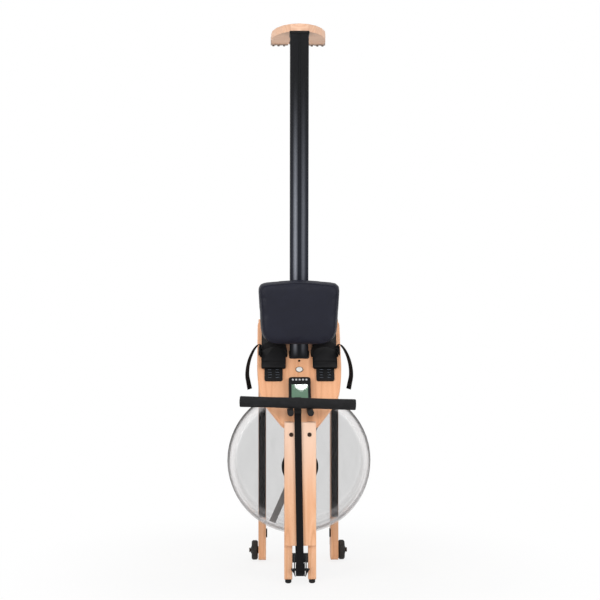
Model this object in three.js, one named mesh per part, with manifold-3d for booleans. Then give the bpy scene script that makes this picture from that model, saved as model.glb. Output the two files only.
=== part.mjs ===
// Water rowing machine with a single rail, stood up on its front end for storage.
// Millimetres. X runs across the machine and Z is up, along the machine from its front end.
// Heights above the floor that the machine is rowed on run along -Y.
import * as THREE from "three";
import { mergeVertices } from "three/addons/utils/BufferGeometryUtils.js";
import Module from "manifold-3d";

// Clearances and fineness
const seatGap = 0.3;
const runningGap = 1;
const overrun = 40;
const mergeTolerance = 1e-4;
const cornerSteps = 5;
const roundSides = 28;
const smallSides = 20;

// Boards
const boardThickness = 30;
const panelThickness = 28;
const panelEdgeRound = 5;

// Floor and wheels
const padHeight = 12;
const padLength = 80;
const padInset = 15;
const wheelRadius = 39;
const wheelWidth = 25;
const wheelHubRadius = 14;
const wheelHubStep = 3;
const wheelHeight = 46;
const wheelBoltRadius = 5;
const wheelBoltHeadRadius = 9;
const wheelBoltHeadHeight = 6;
const tyreRound = 5;

// Runners, the two long side boards
const runnerCentre = 146;
const runnerTop = 112;
const runnerPastCrossing = 148;
const runnerFloorGap = 8;
const riseToCrossing = 72;
const runnerCorner = 26;
const runnerSweep = 60;

// Water tank
const tankAlong = 430;
const tankRadius = 276;
const tankLip = 5;
const tankShoulder = 40;
const tankWall = 4;
const tankHeight = 190;
const tankSides = 56;
const tankShoulderSteps = 4;
const sealFlangeHeight = 5;
const sealHeight = 4;
const stripHeight = 8;
const stripWidth = 26;
const stripToFlange = 6;
const stripLength = 470;
const plugRadius = 20;
const plugHeight = 7;
const plugGripRadius = 13;
const plugGripHeight = 6;
const plugToWall = 91;

// Paddle and drum
const shaftRadius = 9;
const hubRadius = 24;
const paddleTipGap = 14;
const paddleDepth = 105;
const paddleFlange = 25;
const paddleSheet = 3;
const paddleLift = 30;
const paddleTurnDegrees = 24;
const drumFlangeRadius = 66;
const drumCoreRadius = 42;
const drumFlange = 3;
const drumLift = 35;
const cordSpoolRadius = 22;
const cordFlangeRadius = 38;
const cordRadius = 3.5;
const cordSlack = 0.5;
const cordSteps = 62;
const cordSides = 8;
const bearingRadius = 55;
const bearingLip = 10;
const framePlate = 5;
const framePost = 16;
const framePostOut = 82;

// Deck above the tank
const deckAboveDrum = 4.7;
const deckBoardHeight = 42;
const deckGap = 59;
const deckFront = 14;
const deckToCrossing = 228;
const coverThickness = 18;
const coverFront = 146;
const coverInset = 1;
const coverRound = 9;
const deckNose = 12;
const standRadius = 12;
const standNeckRadius = 11;
const standTaper = 3;
const standHeightShare = 0.6;

// Drive strap and front pulley
const strapWidth = 26;
const strapThickness = 1.5;
const strapSeat = 0.6;
const twistSteps = 14;
const twistShare = 0.5;
const wrapSteps = 12;
const pulleyRadius = 22;
const pulleyFlange = 3;
const pulleyFlangeRise = 2.5;
const pulleyAlong = 54;
const pulleyAboveDeck = 3;
const pulleyAxleRadius = 5;
const pulleyBoreGap = 0.2;
const bracketSheet = 3.5;
const bracketRise = 18;
const bracketRiseRoundShare = 0.5;
const bracketEarGap = 3;
const bracketBarFront = 79;
const bracketBarLength = 33;
const bracketBarDrop = 16;
const bracketBarHeight = 15;
const recoilPulleyToDeckRear = 61;
const recoilPulleyOut = 12;
const recoilPulleyWidth = 14;
const recoilPulleyLip = 3;
const recoilAxleRadius = 4;

// Foot panel, whose face slopes from the tip above the tank down to the rail. Its face crosses the
// line of the rail's top at the crossing, from which the places behind the tank are counted.
const panelSlopeDegrees = 38.7;
const crossingPastTank = 121;
const crossingDrop = 201;
const panelTop = 310;
const panelFoot = 196;
const panelHalfWidth = 164;
const panelShoulder = 184;
const panelShoulderHalf = 150;
const panelTipHalf = 64;
const panelSideBreak = 75;
const panelSideCorner = 58;
const panelFootCorner = 34;
const panelShoulderCorner = 46;
const panelTipCorner = 18;

// Rail
const railSlopeDegrees = 4;
const railWidth = 72;
const railDepth = 100;
const railLength = 1353;
const railToCrossing = 92;
const railNoseCorner = 16;
const railShoulder = 11;
const railWall = 4;
const railCentreGroove = 10;
const railCentreGrooveDepth = 3;
const railSideGroove = 22;
const railSideGrooveDepth = 7;
const railSideGrooveDrop = 30;

// Cross boards under the rail
const crossBoardThickness = 30;
const frontBoardToCrossing = 75;
const rearBoardPastCrossing = 40;
const crossBoardBottom = 48;
const frontBoardDrop = 46;
const rearBoardDrop = 86;

// Rear foot
const rearFootWidth = 220;
const rearFootThickness = 29;
const rearFootTuck = 8;
const rearFootSide = 60;
const treadHeight = 18;
const treadPitch = 24;
const treadCount = 3;
const treadOuter = 100;
const treadWeb = 6;
const treadReach = 4;

// Seat
const padWidth = 308;
const padLengthAlong = 249;
const padShift = 3;
const padThickness = 46;
const padPeak = 15;
const padTaper = 14;
const padUpperCorner = 30;
const padLowerCorner = 66;
const padPoints = 56;
const padPeakRoundShare = 1 / 3;
const seatRestAlong = 273;
const seatPlateWidth = 150;
const seatPlateLength = 210;
const seatPlateThickness = 5;
const seatPlateCorner = 20;
const cheekThickness = 4;
const cheekGap = 4;
const cheekLength = 190;
const shoeHeight = 12;
const shoeLength = 40;
const rollerRadius = 17;
const rollerWidth = 13;
const rollerOut = 15.5;
const rollerSpacing = 140;
const rollerAxleRadius = 4;
const rollerRound = 2;

// Foot plates, heel rests and straps
const footOut = 100;
const tongueWidth = 70;
const tongueThickness = 5;
const tongueTop = 111;
const tongueFoot = 150;
const tongueCorner = 10;
const earWidth = 108;
const earLength = 34;
const slotRows = 4;
const slotPitch = 12;
const slotOut = 15;
const slotWidth = 14;
const slotHeight = 5;
const slotTop = 96;
const heelWidth = 95;
const heelThickness = 7;
const heelTop = 55;
const heelFoot = 183;
const heelCupHeight = 46;
const heelCupWall = 6;
const heelCorner = 8;
const webbingWidth = 28;
const webbingThickness = 2.5;
const loopAlong = 21;
const loopRise = 58;
const loopSteps = 18;
const tailWidth = 25;
const tailThickness = 2;
const tailSteps = 24;
const tailPastCrossing = 25;

// Monitor
const monitorWidth = 84;
const monitorLength = 113;
const monitorRear = 105.5;
const monitorThickness = 24;
const monitorCorner = 12;
const monitorEdge = 3;
const windowWidth = 64;
const windowLength = 65.5;
const windowDepth = 3;
const windowMargin = 12;
const buttonCount = 5;
const buttonPitch = 13;
const buttonWidth = 8;
const buttonLength = 7;
const buttonRise = 2.5;
const buttonWell = 6;
const buttonInset = 14;
const buttonGap = 0.5;

// Handle and its pegs
const pegOut = 37;
const pegRadius = 12;
const pegToCrossing = 187.5;
const pegAboveHandle = 35;
const pegRound = 5;
const pegRoundShare = 1 / 3;
const handleLength = 429;
const handleRadius = 20.2;
const handleEndRound = 5;
const handleWaist = 1;
const handleAboveDeck = 42;
const handleTiltDegrees = 1.7;
const handleShift = 10;
const clipWidth = 28;
const clipThickness = 14;
const clipReach = 40;
const clipCorner = 5;

// Heights and places along the machine that follow from these sizes
const tankFlangeRadius = tankRadius + tankLip;
const paddleReach = tankRadius - tankWall - paddleTipGap;
const tankFloor = runnerTop + stripHeight + seatGap;
const tankTop = tankFloor + tankHeight;
const drumBottom = tankTop + drumLift;
const strapSlot = strapWidth + 2 * runningGap;
const cordSlot = 2 * (cordRadius + cordSlack);
const drumHeight = 3 * drumFlange + strapSlot + cordSlot;
const deckBottom = drumBottom + drumHeight + deckAboveDrum;
const deckTop = deckBottom + deckBoardHeight;
const handleHeight = deckTop + handleAboveDeck;
const pulleyHeight = deckTop + pulleyAboveDeck;
const bracketBarBottom = deckTop - bracketBarDrop;
const panelCrossHeight = deckTop - crossingDrop;
const panelCrossAlong = tankAlong + tankFlangeRadius + crossingPastTank;
const deckRear = panelCrossAlong - deckToCrossing;
const pegAlong = panelCrossAlong - pegToCrossing;
const railFront = panelCrossAlong - railToCrossing;
const runnerRise = panelCrossAlong - riseToCrossing;
const runnerLength = panelCrossAlong + runnerPastCrossing;
const recoilPulleyAlong = deckRear - recoilPulleyToDeckRear;

// Finishes
const finishes = {
  wood: { color: 0xd9a271, roughness: 0.55, metalness: 0 },
  rubber: { color: 0x1b1b1d, roughness: 0.85, metalness: 0 },
  blackPlastic: { color: 0x222326, roughness: 0.5, metalness: 0 },
  blackSteel: { color: 0x1e1f22, roughness: 0.45, metalness: 0.6 },
  railBlack: { color: 0x26282c, roughness: 0.35, metalness: 0.5 },
  clearPlastic: { color: 0xd4d8da, roughness: 0.1, metalness: 0, transparent: true, opacity: 0.4 },
  greyPlastic: { color: 0x8e9294, roughness: 0.45, metalness: 0 },
  webbing: { color: 0x1a1a1c, roughness: 0.95, metalness: 0 },
  vinyl: { color: 0x2d3036, roughness: 0.6, metalness: 0 },
  bronze: { color: 0x6b5142, roughness: 0.4, metalness: 0.7 },
  display: { color: 0x55786a, roughness: 0.15, metalness: 0 },
};

const materials = Object.fromEntries(
  Object.entries(finishes).map(([name, finish]) => [name, new THREE.MeshStandardMaterial(finish)]),
);

const wasm = await Module();
wasm.setup();

// Shapes

const radians = THREE.MathUtils.degToRad;
const mirrored = [
  ["left", -1],
  ["right", 1],
];

function solidOf(geometry) {
  const bare = geometry.index ? geometry.toNonIndexed() : geometry.clone();
  bare.deleteAttribute("normal");
  bare.deleteAttribute("uv");
  const merged = mergeVertices(bare, mergeTolerance);
  return new wasm.Manifold(
    new wasm.Mesh({
      numProp: 3,
      vertProperties: merged.attributes.position.array,
      triVerts: new Uint32Array(merged.index.array),
    }),
  );
}

function geometryOf(solid) {
  const mesh = solid.getMesh();
  const geometry = new THREE.BufferGeometry();
  const positions = Float32Array.from(mesh.vertProperties);
  geometry.setAttribute("position", new THREE.BufferAttribute(positions, mesh.numProp));
  geometry.setIndex(new THREE.BufferAttribute(Uint32Array.from(mesh.triVerts), 1));
  geometry.computeVertexNormals();
  return geometry;
}

function join(...geometries) {
  return geometryOf(geometries.map(solidOf).reduce((whole, next) => whole.add(next)));
}

function cut(geometry, ...tools) {
  return geometryOf(tools.map(solidOf).reduce((rest, tool) => rest.subtract(tool), solidOf(geometry)));
}

// A block between its limits across, in height and along.
function block([left, right], [low, high], [front, rear]) {
  const geometry = new THREE.BoxGeometry(right - left, high - low, rear - front);
  return geometry.translate((left + right) / 2, -(low + high) / 2, (front + rear) / 2);
}

// A closed outline through corners [u, v, radius].
function rounded(corners, outline = new THREE.Shape()) {
  corners.forEach(([u, v, radius = 0], i) => {
    const here = new THREE.Vector2(u, v);
    const next = corners[(i + 1) % corners.length];
    const [before, after] = [corners.at(i - 1), next].map((corner) =>
      new THREE.Vector2(corner[0], corner[1]).sub(here).setLength(radius).add(here),
    );
    if (i === 0) outline.moveTo(before.x, before.y);
    else outline.lineTo(before.x, before.y);
    if (radius > 0) outline.quadraticCurveTo(u, v, after.x, after.y);
  });
  outline.closePath();
  return outline;
}

function rectangle(halfWidth, from, to, radius = 0) {
  return rounded([
    [-halfWidth, from, radius],
    [halfWidth, from, radius],
    [halfWidth, to, radius],
    [-halfWidth, to, radius],
  ]);
}

function hole(outline, shape) {
  outline.holes.push(new THREE.Path(shape.getPoints(cornerSteps)));
}

function extruded(outline, depth, bevel = 0) {
  return new THREE.ExtrudeGeometry(outline, {
    depth: depth - 2 * bevel,
    bevelEnabled: bevel > 0,
    bevelThickness: bevel,
    bevelSize: bevel,
    bevelOffset: -bevel,
    bevelSegments: 2,
    curveSegments: cornerSteps,
  }).translate(0, 0, bevel);
}

// An outline of [along, height] as a board of that thickness across.
function board(outline, thickness, centre = 0) {
  const basis = new THREE.Matrix4().makeBasis(
    new THREE.Vector3(0, 0, 1),
    new THREE.Vector3(0, -1, 0),
    new THREE.Vector3(1, 0, 0),
  );
  const geometry = extruded(outline, thickness).translate(0, 0, -thickness / 2);
  return geometry.applyMatrix4(basis).translate(centre, 0, 0);
}

// An outline of [across, along] as a plate that rises from a height.
function plate(outline, thickness, base = 0, bevel = 0) {
  return extruded(outline, thickness, bevel).rotateX(Math.PI / 2).translate(0, -base, 0);
}

// An outline of [across, height] as a bar along the machine.
function bar(outline, length, front = 0) {
  return extruded(outline, length).rotateX(Math.PI).translate(0, 0, front + length);
}

// A profile of [radius, height] turned about the line of height.
function upright(profile, sides = roundSides) {
  const points = profile.map(([radius, height]) => new THREE.Vector2(radius, height));
  return new THREE.LatheGeometry(points, sides).rotateX(Math.PI);
}

// A profile of [radius, across] turned about a line across the machine.
function crosswise(profile, sides = roundSides) {
  const points = profile.map(([radius, offset]) => new THREE.Vector2(radius, offset));
  return new THREE.LatheGeometry(points, sides).rotateZ(-Math.PI / 2);
}

// A closed skin over rings that hold as many points as each other.
function loft(rings) {
  const count = rings[0].length;
  const middle = (ring) =>
    ring.reduce((sum, point) => sum.add(point), new THREE.Vector3()).divideScalar(count);
  const points = [...rings.flat(), middle(rings[0]), middle(rings.at(-1))];
  const faces = [];
  for (let ring = 0; ring < rings.length - 1; ring++) {
    for (let i = 0; i < count; i++) {
      const [a, b] = [ring * count + i, ring * count + ((i + 1) % count)];
      // The diagonals of opposite sides run side by side, so that a twisted band keeps its thickness
      if (i < count / 2) faces.push(a, b, b + count, a, b + count, a + count);
      else faces.push(a, b, a + count, b, b + count, a + count);
    }
  }
  const last = (rings.length - 1) * count;
  for (let i = 0; i < count; i++) {
    const next = (i + 1) % count;
    faces.push(points.length - 2, next, i, points.length - 1, last + i, last + next);
  }
  const geometry = new THREE.BufferGeometry().setFromPoints(points);
  geometry.setIndex(faces);
  geometry.computeVertexNormals();
  return geometry;
}

// A flat band through stations { at, wide, thick }, half of its width and thickness to each side.
function band(stations, width, thickness) {
  return loft(
    stations.map(({ at, wide, thick }) =>
      [
        [-1, -1],
        [1, -1],
        [1, 1],
        [-1, 1],
      ].map(([u, v]) =>
        at
          .clone()
          .addScaledVector(wide, (u * width) / 2)
          .addScaledVector(thick, (v * thickness) / 2),
      ),
    ),
  );
}

function named(name, geometry, finish) {
  const mesh = new THREE.Mesh(geometry, materials[finish]);
  mesh.name = name;
  return mesh;
}

function moved(mesh, x, height, along) {
  mesh.position.set(x, -height, along);
  return mesh;
}

// Frames of the foot panel and the rail

const panelSlope = radians(panelSlopeDegrees);
const railSlope = radians(railSlopeDegrees);

// The height of the line of the rail's top at a place along the machine
const railTopAt = (along) => panelCrossHeight + (along - panelCrossAlong) * Math.tan(railSlope);

function inPanelFrame(object) {
  object.rotation.x = -panelSlope;
  object.position.set(0, -panelCrossHeight, panelCrossAlong);
  return object;
}

function inRailFrame(object) {
  object.rotation.x = railSlope;
  object.position.set(0, -railTopAt(railFront), railFront);
  return object;
}

function placed(geometry, inFrame) {
  const frame = inFrame(new THREE.Object3D());
  frame.updateMatrix();
  return geometry.clone().applyMatrix4(frame.matrix);
}

// The face of the panel as a height at a place along the machine
const panelFaceAt = (along) => panelCrossHeight - (along - panelCrossAlong) * Math.tan(panelSlope);

const farAcross = [-panelHalfWidth - overrun, panelHalfWidth + overrun];

// All that lies above the panel's back
const abovePanelBack = placed(
  block(farAcross, [-panelThickness - seatGap, runnerLength], [-runnerLength, runnerLength]),
  inPanelFrame,
);

// The space that the panel itself fills
const panelSpace = placed(
  block(farAcross, [-panelThickness - seatGap, seatGap], [-panelTop - seatGap, panelFoot + overrun]),
  inPanelFrame,
);

function railOutline(gap) {
  return rounded([
    [-railWidth / 2 - gap, -railDepth - gap],
    [railWidth / 2 + gap, -railDepth - gap],
    [railWidth / 2 + gap, gap, railShoulder + gap],
    [-railWidth / 2 - gap, gap, railShoulder + gap],
  ]);
}

// What the two rounded corners of the rail's front end leave out, with room round the rail
function railNose(gap) {
  const half = railWidth / 2 + gap;
  const deep = railDepth + overrun;
  return cut(
    block([-half - overrun, half + overrun], [-deep, overrun], [-overrun, railNoseCorner]),
    plate(rectangle(half, -gap, railLength, railNoseCorner), deep + 2 * overrun, -deep - overrun / 2),
  );
}

// The space round the rail, with room to pass it
const railSpace = placed(
  cut(bar(railOutline(seatGap), railLength, -seatGap), railNose(seatGap)),
  inRailFrame,
);

// Hull

function footPanel() {
  const side = [
    [panelHalfWidth, panelFoot, panelFootCorner],
    [panelHalfWidth, -panelSideBreak, panelSideCorner],
    [panelShoulderHalf, -panelShoulder, panelShoulderCorner],
    [panelTipHalf, -panelTop, panelTipCorner],
  ];
  const other = side.map(([x, along, radius]) => [-x, along, radius]).reverse();
  const outline = rounded([...side, ...other]);
  const sloped = placed(plate(outline, panelThickness, -panelThickness, panelEdgeRound), inPanelFrame);
  return named("foot_panel", cut(sloped, railSpace), "wood");
}

function runner(side, sign) {
  const peak = runnerTop + tankHeight + overrun;
  const outline = rounded([
    [runnerFloorGap, padHeight, runnerCorner],
    [runnerLength, padHeight, runnerCorner],
    [runnerLength, peak],
    [runnerRise, peak],
    [runnerRise, runnerTop, runnerSweep],
    [runnerFloorGap, runnerTop, runnerCorner],
  ]);
  const geometry = cut(board(outline, boardThickness, sign * runnerCentre), abovePanelBack);
  return named(`${side}_runner`, geometry, "wood");
}

function floorPad(side, sign, end, front) {
  const across = [-boardThickness / 2, boardThickness / 2].map((x) => sign * runnerCentre + x);
  const geometry = block(across, [0, padHeight - seatGap], [front, front + padLength]);
  return named(`${side}_${end}_pad`, geometry, "rubber");
}

function crossBoard(name, along, top) {
  const half = runnerCentre - boardThickness / 2 - seatGap;
  const blank = block([-half, half], [crossBoardBottom, top], [along, along + crossBoardThickness]);
  return named(name, cut(blank, railSpace, abovePanelBack), "wood");
}

function tankStrip(side, sign) {
  const across = [-stripWidth / 2, stripWidth / 2].map((x) => sign * runnerCentre + x);
  const heights = [runnerTop + seatGap, runnerTop + stripHeight];
  const front = tankAlong - tankFlangeRadius + stripToFlange;
  return named(`${side}_tank_strip`, block(across, heights, [front, front + stripLength]), "rubber");
}

function hull() {
  const group = new THREE.Group();
  group.add(footPanel());
  for (const [side, sign] of mirrored) {
    group.add(runner(side, sign));
    group.add(floorPad(side, sign, "front", runnerFloorGap + runnerCorner + padInset));
    group.add(floorPad(side, sign, "rear", runnerLength - runnerCorner - padInset - padLength));
    group.add(tankStrip(side, sign));
  }
  const frontAlong = panelCrossAlong - frontBoardToCrossing;
  const rearAlong = panelCrossAlong + rearBoardPastCrossing;
  group.add(crossBoard("front_cross_board", frontAlong, panelCrossHeight - frontBoardDrop));
  group.add(crossBoard("rear_cross_board", rearAlong, panelCrossHeight - rearBoardDrop));
  return group;
}

// Transport wheels

const wheelInner = runnerCentre + boardThickness / 2 + wheelHubStep + seatGap;

function wheel(side, sign) {
  const half = wheelWidth / 2;
  const bore = wheelBoltRadius + pulleyBoreGap;
  const geometry = crosswise([
    [bore, -half - wheelHubStep],
    [wheelHubRadius, -half - wheelHubStep],
    [wheelHubRadius, -half],
    [wheelRadius - tyreRound, -half],
    [wheelRadius, -half + tyreRound],
    [wheelRadius, half - tyreRound],
    [wheelRadius - tyreRound, half],
    [wheelHubRadius, half],
    [wheelHubRadius, half + wheelHubStep],
    [bore, half + wheelHubStep],
    [bore, -half - wheelHubStep],
  ]);
  const mesh = named(`${side}_wheel`, geometry, "rubber");
  return moved(mesh, sign * (wheelInner + half), wheelHeight, wheelRadius);
}

function wheelBolt(side, sign) {
  const start = runnerCentre + boardThickness / 2 + seatGap;
  const outer = wheelInner + wheelWidth + wheelHubStep + runningGap;
  const profile = [
    [0, start],
    [wheelBoltRadius, start],
    [wheelBoltRadius, outer],
    [wheelBoltHeadRadius, outer],
    [wheelBoltHeadRadius, outer + wheelBoltHeadHeight],
    [0, outer + wheelBoltHeadHeight],
  ];
  const geometry = crosswise(profile, smallSides);
  if (sign < 0) geometry.rotateZ(Math.PI);
  return moved(named(`${side}_wheel_bolt`, geometry, "bronze"), 0, wheelHeight, wheelRadius);
}

function transport() {
  const group = new THREE.Group();
  for (const [side, sign] of mirrored) group.add(wheel(side, sign), wheelBolt(side, sign));
  return group;
}

// Tank, with its heights counted from the tank's floor

const seamLow = (tankHeight - sealHeight) / 2;
const seamHigh = seamLow + sealHeight;

// Points of a quarter round from the wall in to the flat, for the shell's outside or inside
function shoulder(wall, flat, inset, sense) {
  const radius = tankShoulder - inset;
  return Array.from({ length: tankShoulderSteps + 1 }, (_, i) => {
    const angle = (i / tankShoulderSteps) * (Math.PI / 2);
    return [wall - radius + radius * Math.cos(angle), flat - sense * radius * (1 - Math.sin(angle))];
  });
}

function tankLower() {
  const outside = shoulder(tankRadius, 0, 0, -1).reverse();
  const inside = shoulder(tankRadius - tankWall, tankWall, tankWall, -1);
  const geometry = upright(
    [
      [0, 0],
      ...outside,
      [tankRadius, seamLow - sealFlangeHeight],
      [tankFlangeRadius, seamLow - sealFlangeHeight],
      [tankFlangeRadius, seamLow - seatGap],
      [tankRadius - tankWall, seamLow - seatGap],
      ...inside,
      [0, tankWall],
    ],
    tankSides,
  );
  return named("tank_lower", geometry, "clearPlastic");
}

function tankUpper() {
  const bore = shaftRadius + runningGap;
  const outside = shoulder(tankRadius, tankHeight, 0, 1);
  const inside = shoulder(tankRadius - tankWall, tankHeight - tankWall, tankWall, 1).reverse();
  const geometry = upright(
    [
      [bore, tankHeight - tankWall],
      ...inside,
      [tankRadius - tankWall, seamHigh + seatGap],
      [tankFlangeRadius, seamHigh + seatGap],
      [tankFlangeRadius, seamHigh + sealFlangeHeight],
      [tankRadius, seamHigh + sealFlangeHeight],
      ...outside,
      [bore, tankHeight],
      [bore, tankHeight - tankWall],
    ],
    tankSides,
  );
  return named("tank_upper", geometry, "clearPlastic");
}

function tankSeal() {
  const geometry = upright(
    [
      [tankRadius - tankWall, seamLow],
      [tankFlangeRadius, seamLow],
      [tankFlangeRadius, seamHigh],
      [tankRadius - tankWall, seamHigh],
      [tankRadius - tankWall, seamLow],
    ],
    tankSides,
  );
  return named("tank_seal", geometry, "greyPlastic");
}

function tankPlug() {
  const base = tankHeight + seatGap;
  const geometry = upright(
    [
      [0, base],
      [plugRadius, base],
      [plugRadius, base + plugHeight],
      [plugGripRadius, base + plugHeight],
      [plugGripRadius, base + plugHeight + plugGripHeight],
      [0, base + plugHeight + plugGripHeight],
    ],
    smallSides,
  );
  return moved(named("tank_plug", geometry, "blackPlastic"), 0, 0, tankRadius - plugToWall);
}

function tank() {
  const group = new THREE.Group();
  group.add(tankLower(), tankUpper(), tankSeal(), tankPlug());
  return moved(group, 0, tankFloor, tankAlong);
}

// Drive: paddle, drum and the frame that carries both and the deck

const deckHalf = deckGap / 2 + boardThickness;
const strapOnDrumHeight = drumBottom + drumFlange + strapSlot / 2;
const cordOnDrumHeight = drumBottom + 2 * drumFlange + strapSlot + cordSlot / 2;
const strapOnDrumRadius = drumCoreRadius + strapSeat + strapThickness / 2;
const guideAlong = tankAlong - framePostOut;
const cordOnDrumRadius = cordSpoolRadius + runningGap + cordRadius;

function driveFrame() {
  const base = tankTop + seatGap;
  const bore = shaftRadius + pulleyBoreGap;
  const bearing = upright([
    [bore, base],
    [bearingRadius, base],
    [bearingRadius, base + framePlate + bearingLip],
    [bore + bearingLip, drumBottom - runningGap],
    [bore, drumBottom - runningGap],
    [bore, base],
  ]).translate(0, 0, tankAlong);
  const reach = framePostOut + framePost / 2;
  const sheet = cut(
    plate(
      rectangle(deckHalf - runningGap, tankAlong - reach, tankAlong + reach, framePost / 2),
      framePlate,
      base,
    ),
    upright([
      [0, base - overrun],
      [bearingRadius - runningGap, base - overrun],
      [bearingRadius - runningGap, base + overrun],
      [0, base + overrun],
    ]).translate(0, 0, tankAlong),
  );
  const posts = mirrored.flatMap(([, across]) =>
    mirrored.map(([, along]) => {
      const x = (across * (deckGap + boardThickness)) / 2;
      const z = tankAlong + along * framePostOut;
      return block(
        [x - framePost / 2, x + framePost / 2],
        [base, deckBottom - seatGap],
        [z - framePost / 2, z + framePost / 2],
      );
    }),
  );
  const guideFoot = strapOnDrumHeight + strapWidth / 2 + runningGap;
  const guide = block(
    [-deckHalf + framePost, deckHalf - framePost],
    [guideFoot, guideFoot + framePlate],
    [guideAlong, guideAlong + framePost / 2],
  );
  return named("drive_frame", join(sheet, bearing, guide, ...posts), "blackSteel");
}

function drum() {
  const bore = shaftRadius + pulleyBoreGap;
  const cordFloor = 2 * drumFlange + strapSlot;
  const geometry = upright([
    [bore, 0],
    [drumFlangeRadius, 0],
    [drumFlangeRadius, drumFlange],
    [drumCoreRadius, drumFlange],
    [drumCoreRadius, drumFlange + strapSlot],
    [drumFlangeRadius, drumFlange + strapSlot],
    [drumFlangeRadius, cordFloor],
    [cordSpoolRadius, cordFloor],
    [cordSpoolRadius, cordFloor + cordSlot],
    [cordFlangeRadius, cordFloor + cordSlot],
    [cordFlangeRadius, drumHeight],
    [bore, drumHeight],
    [bore, 0],
  ]);
  return moved(named("drive_drum", geometry, "blackPlastic"), 0, drumBottom, tankAlong);
}

function paddle() {
  const low = paddleLift;
  const high = paddleLift + paddleDepth;
  const shaftTop = tankHeight + drumLift + drumHeight;
  const shaft = upright([
    [0, low],
    [hubRadius, low],
    [hubRadius, high],
    [shaftRadius, high],
    [shaftRadius, shaftTop],
    [0, shaftTop],
  ]);
  const arm = board(
    rounded([
      [hubRadius / 2, low],
      [paddleReach - tankShoulder, low],
      [paddleReach, low + tankShoulder, tankShoulder / 2],
      [paddleReach, high],
      [hubRadius / 2, high],
    ]),
    paddleSheet,
  );
  const flange = block(
    [-paddleFlange / 2, paddleFlange / 2],
    [high - paddleSheet, high],
    [hubRadius / 2, paddleReach],
  );
  const half = join(arm, flange);
  const other = half.clone().rotateY(Math.PI);
  const geometry = join(shaft, half, other).rotateY(radians(paddleTurnDegrees));
  return moved(named("paddle", geometry, "greyPlastic"), 0, tankFloor, tankAlong);
}

// Deck

function deckBoard(side, sign) {
  const outline = rounded([
    [deckFront, deckBottom, deckNose],
    [deckRear, deckBottom],
    [deckRear, deckTop],
    [deckFront, deckTop, deckNose],
  ]);
  const centre = (sign * (deckGap + boardThickness)) / 2;
  return named(`${side}_deck_board`, cut(board(outline, boardThickness, centre), panelSpace), "wood");
}

function deckCover() {
  const outline = rectangle(deckHalf - coverInset, coverFront, deckRear, coverRound);
  return named("deck_cover", plate(outline, coverThickness, deckTop + seatGap), "wood");
}

function storageFoot(side, sign) {
  const top = deckFront - seatGap;
  const profile = [
    [0, 0],
    [standRadius - standTaper, 0],
    [standRadius, standTaper],
    [standRadius, top - standTaper],
    [standNeckRadius, top],
    [0, top],
  ].map(([radius, height]) => new THREE.Vector2(radius, height));
  const geometry = new THREE.LatheGeometry(profile, smallSides).rotateX(Math.PI / 2);
  const height = deckBottom + deckBoardHeight * standHeightShare;
  const centre = (sign * (deckGap + boardThickness)) / 2;
  return moved(named(`${side}_storage_foot`, geometry, "rubber"), centre, height, 0);
}

// A peg whose foot is cut to the slope of the panel
function handlePeg(side, sign) {
  const foot = panelFaceAt(pegAlong) - overrun;
  const top = handleHeight + pegAboveHandle;
  const round = pegRound * pegRoundShare;
  const geometry = upright(
    [
      [0, foot],
      [pegRadius, foot],
      [pegRadius, top - pegRound],
      [pegRadius - round, top - round],
      [pegRadius - pegRound, top],
      [0, top],
    ],
    smallSides,
  ).translate(sign * pegOut, 0, pegAlong);
  const belowFace = placed(
    block(farAcross, [-runnerLength, seatGap], [-runnerLength, runnerLength]),
    inPanelFrame,
  );
  return named(`${side}_handle_peg`, cut(geometry, belowFace), "rubber");
}

function deck() {
  const group = new THREE.Group();
  for (const [side, sign] of mirrored) {
    group.add(deckBoard(side, sign), storageFoot(side, sign), handlePeg(side, sign));
  }
  group.add(deckCover());
  return group;
}

// Strap, cord and their pulleys

const strapRunRadius = pulleyRadius + strapSeat + strapThickness / 2;
const strapRunHeight = pulleyHeight + strapRunRadius;
const handleLean = (pegOut + handleShift) * Math.sin(radians(handleTiltDegrees));
const handleAlong = pegAlong + pegRadius + handleRadius + seatGap + handleLean;
const clipFront = handleAlong - clipReach;
const cordAnchorHeight = bracketBarBottom + bracketBarHeight / 2;
const recoilRunRadius = (cordAnchorHeight - cordOnDrumHeight) / 2;
const recoilPulleyHeight = cordOnDrumHeight + recoilRunRadius;

function pulleyBracket() {
  const inner = deckGap / 2 - seatGap;
  const round = bracketRise * bracketRiseRoundShare;
  const earOut = strapWidth / 2 + runningGap + pulleyFlange + bracketEarGap + bracketSheet / 2;
  const ears = mirrored.map(([, sign]) =>
    board(
      rounded([
        [pulleyAlong - bracketRise, bracketBarBottom, round],
        [bracketBarFront + bracketBarLength, bracketBarBottom],
        [bracketBarFront + bracketBarLength, bracketBarBottom + bracketBarHeight],
        [pulleyAlong + bracketRise, pulleyHeight + bracketRise, round],
        [pulleyAlong - bracketRise, pulleyHeight + bracketRise, round],
      ]),
      bracketSheet,
      sign * earOut,
    ),
  );
  const tie = block(
    [-inner, inner],
    [bracketBarBottom, bracketBarBottom + bracketBarHeight],
    [bracketBarFront, bracketBarFront + bracketBarLength],
  );
  const axle = crosswise(
    [
      [0, -inner],
      [pulleyAxleRadius, -inner],
      [pulleyAxleRadius, inner],
      [0, inner],
    ],
    smallSides,
  ).translate(0, -pulleyHeight, pulleyAlong);
  return named("pulley_bracket", join(tie, axle, ...ears), "blackSteel");
}

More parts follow.
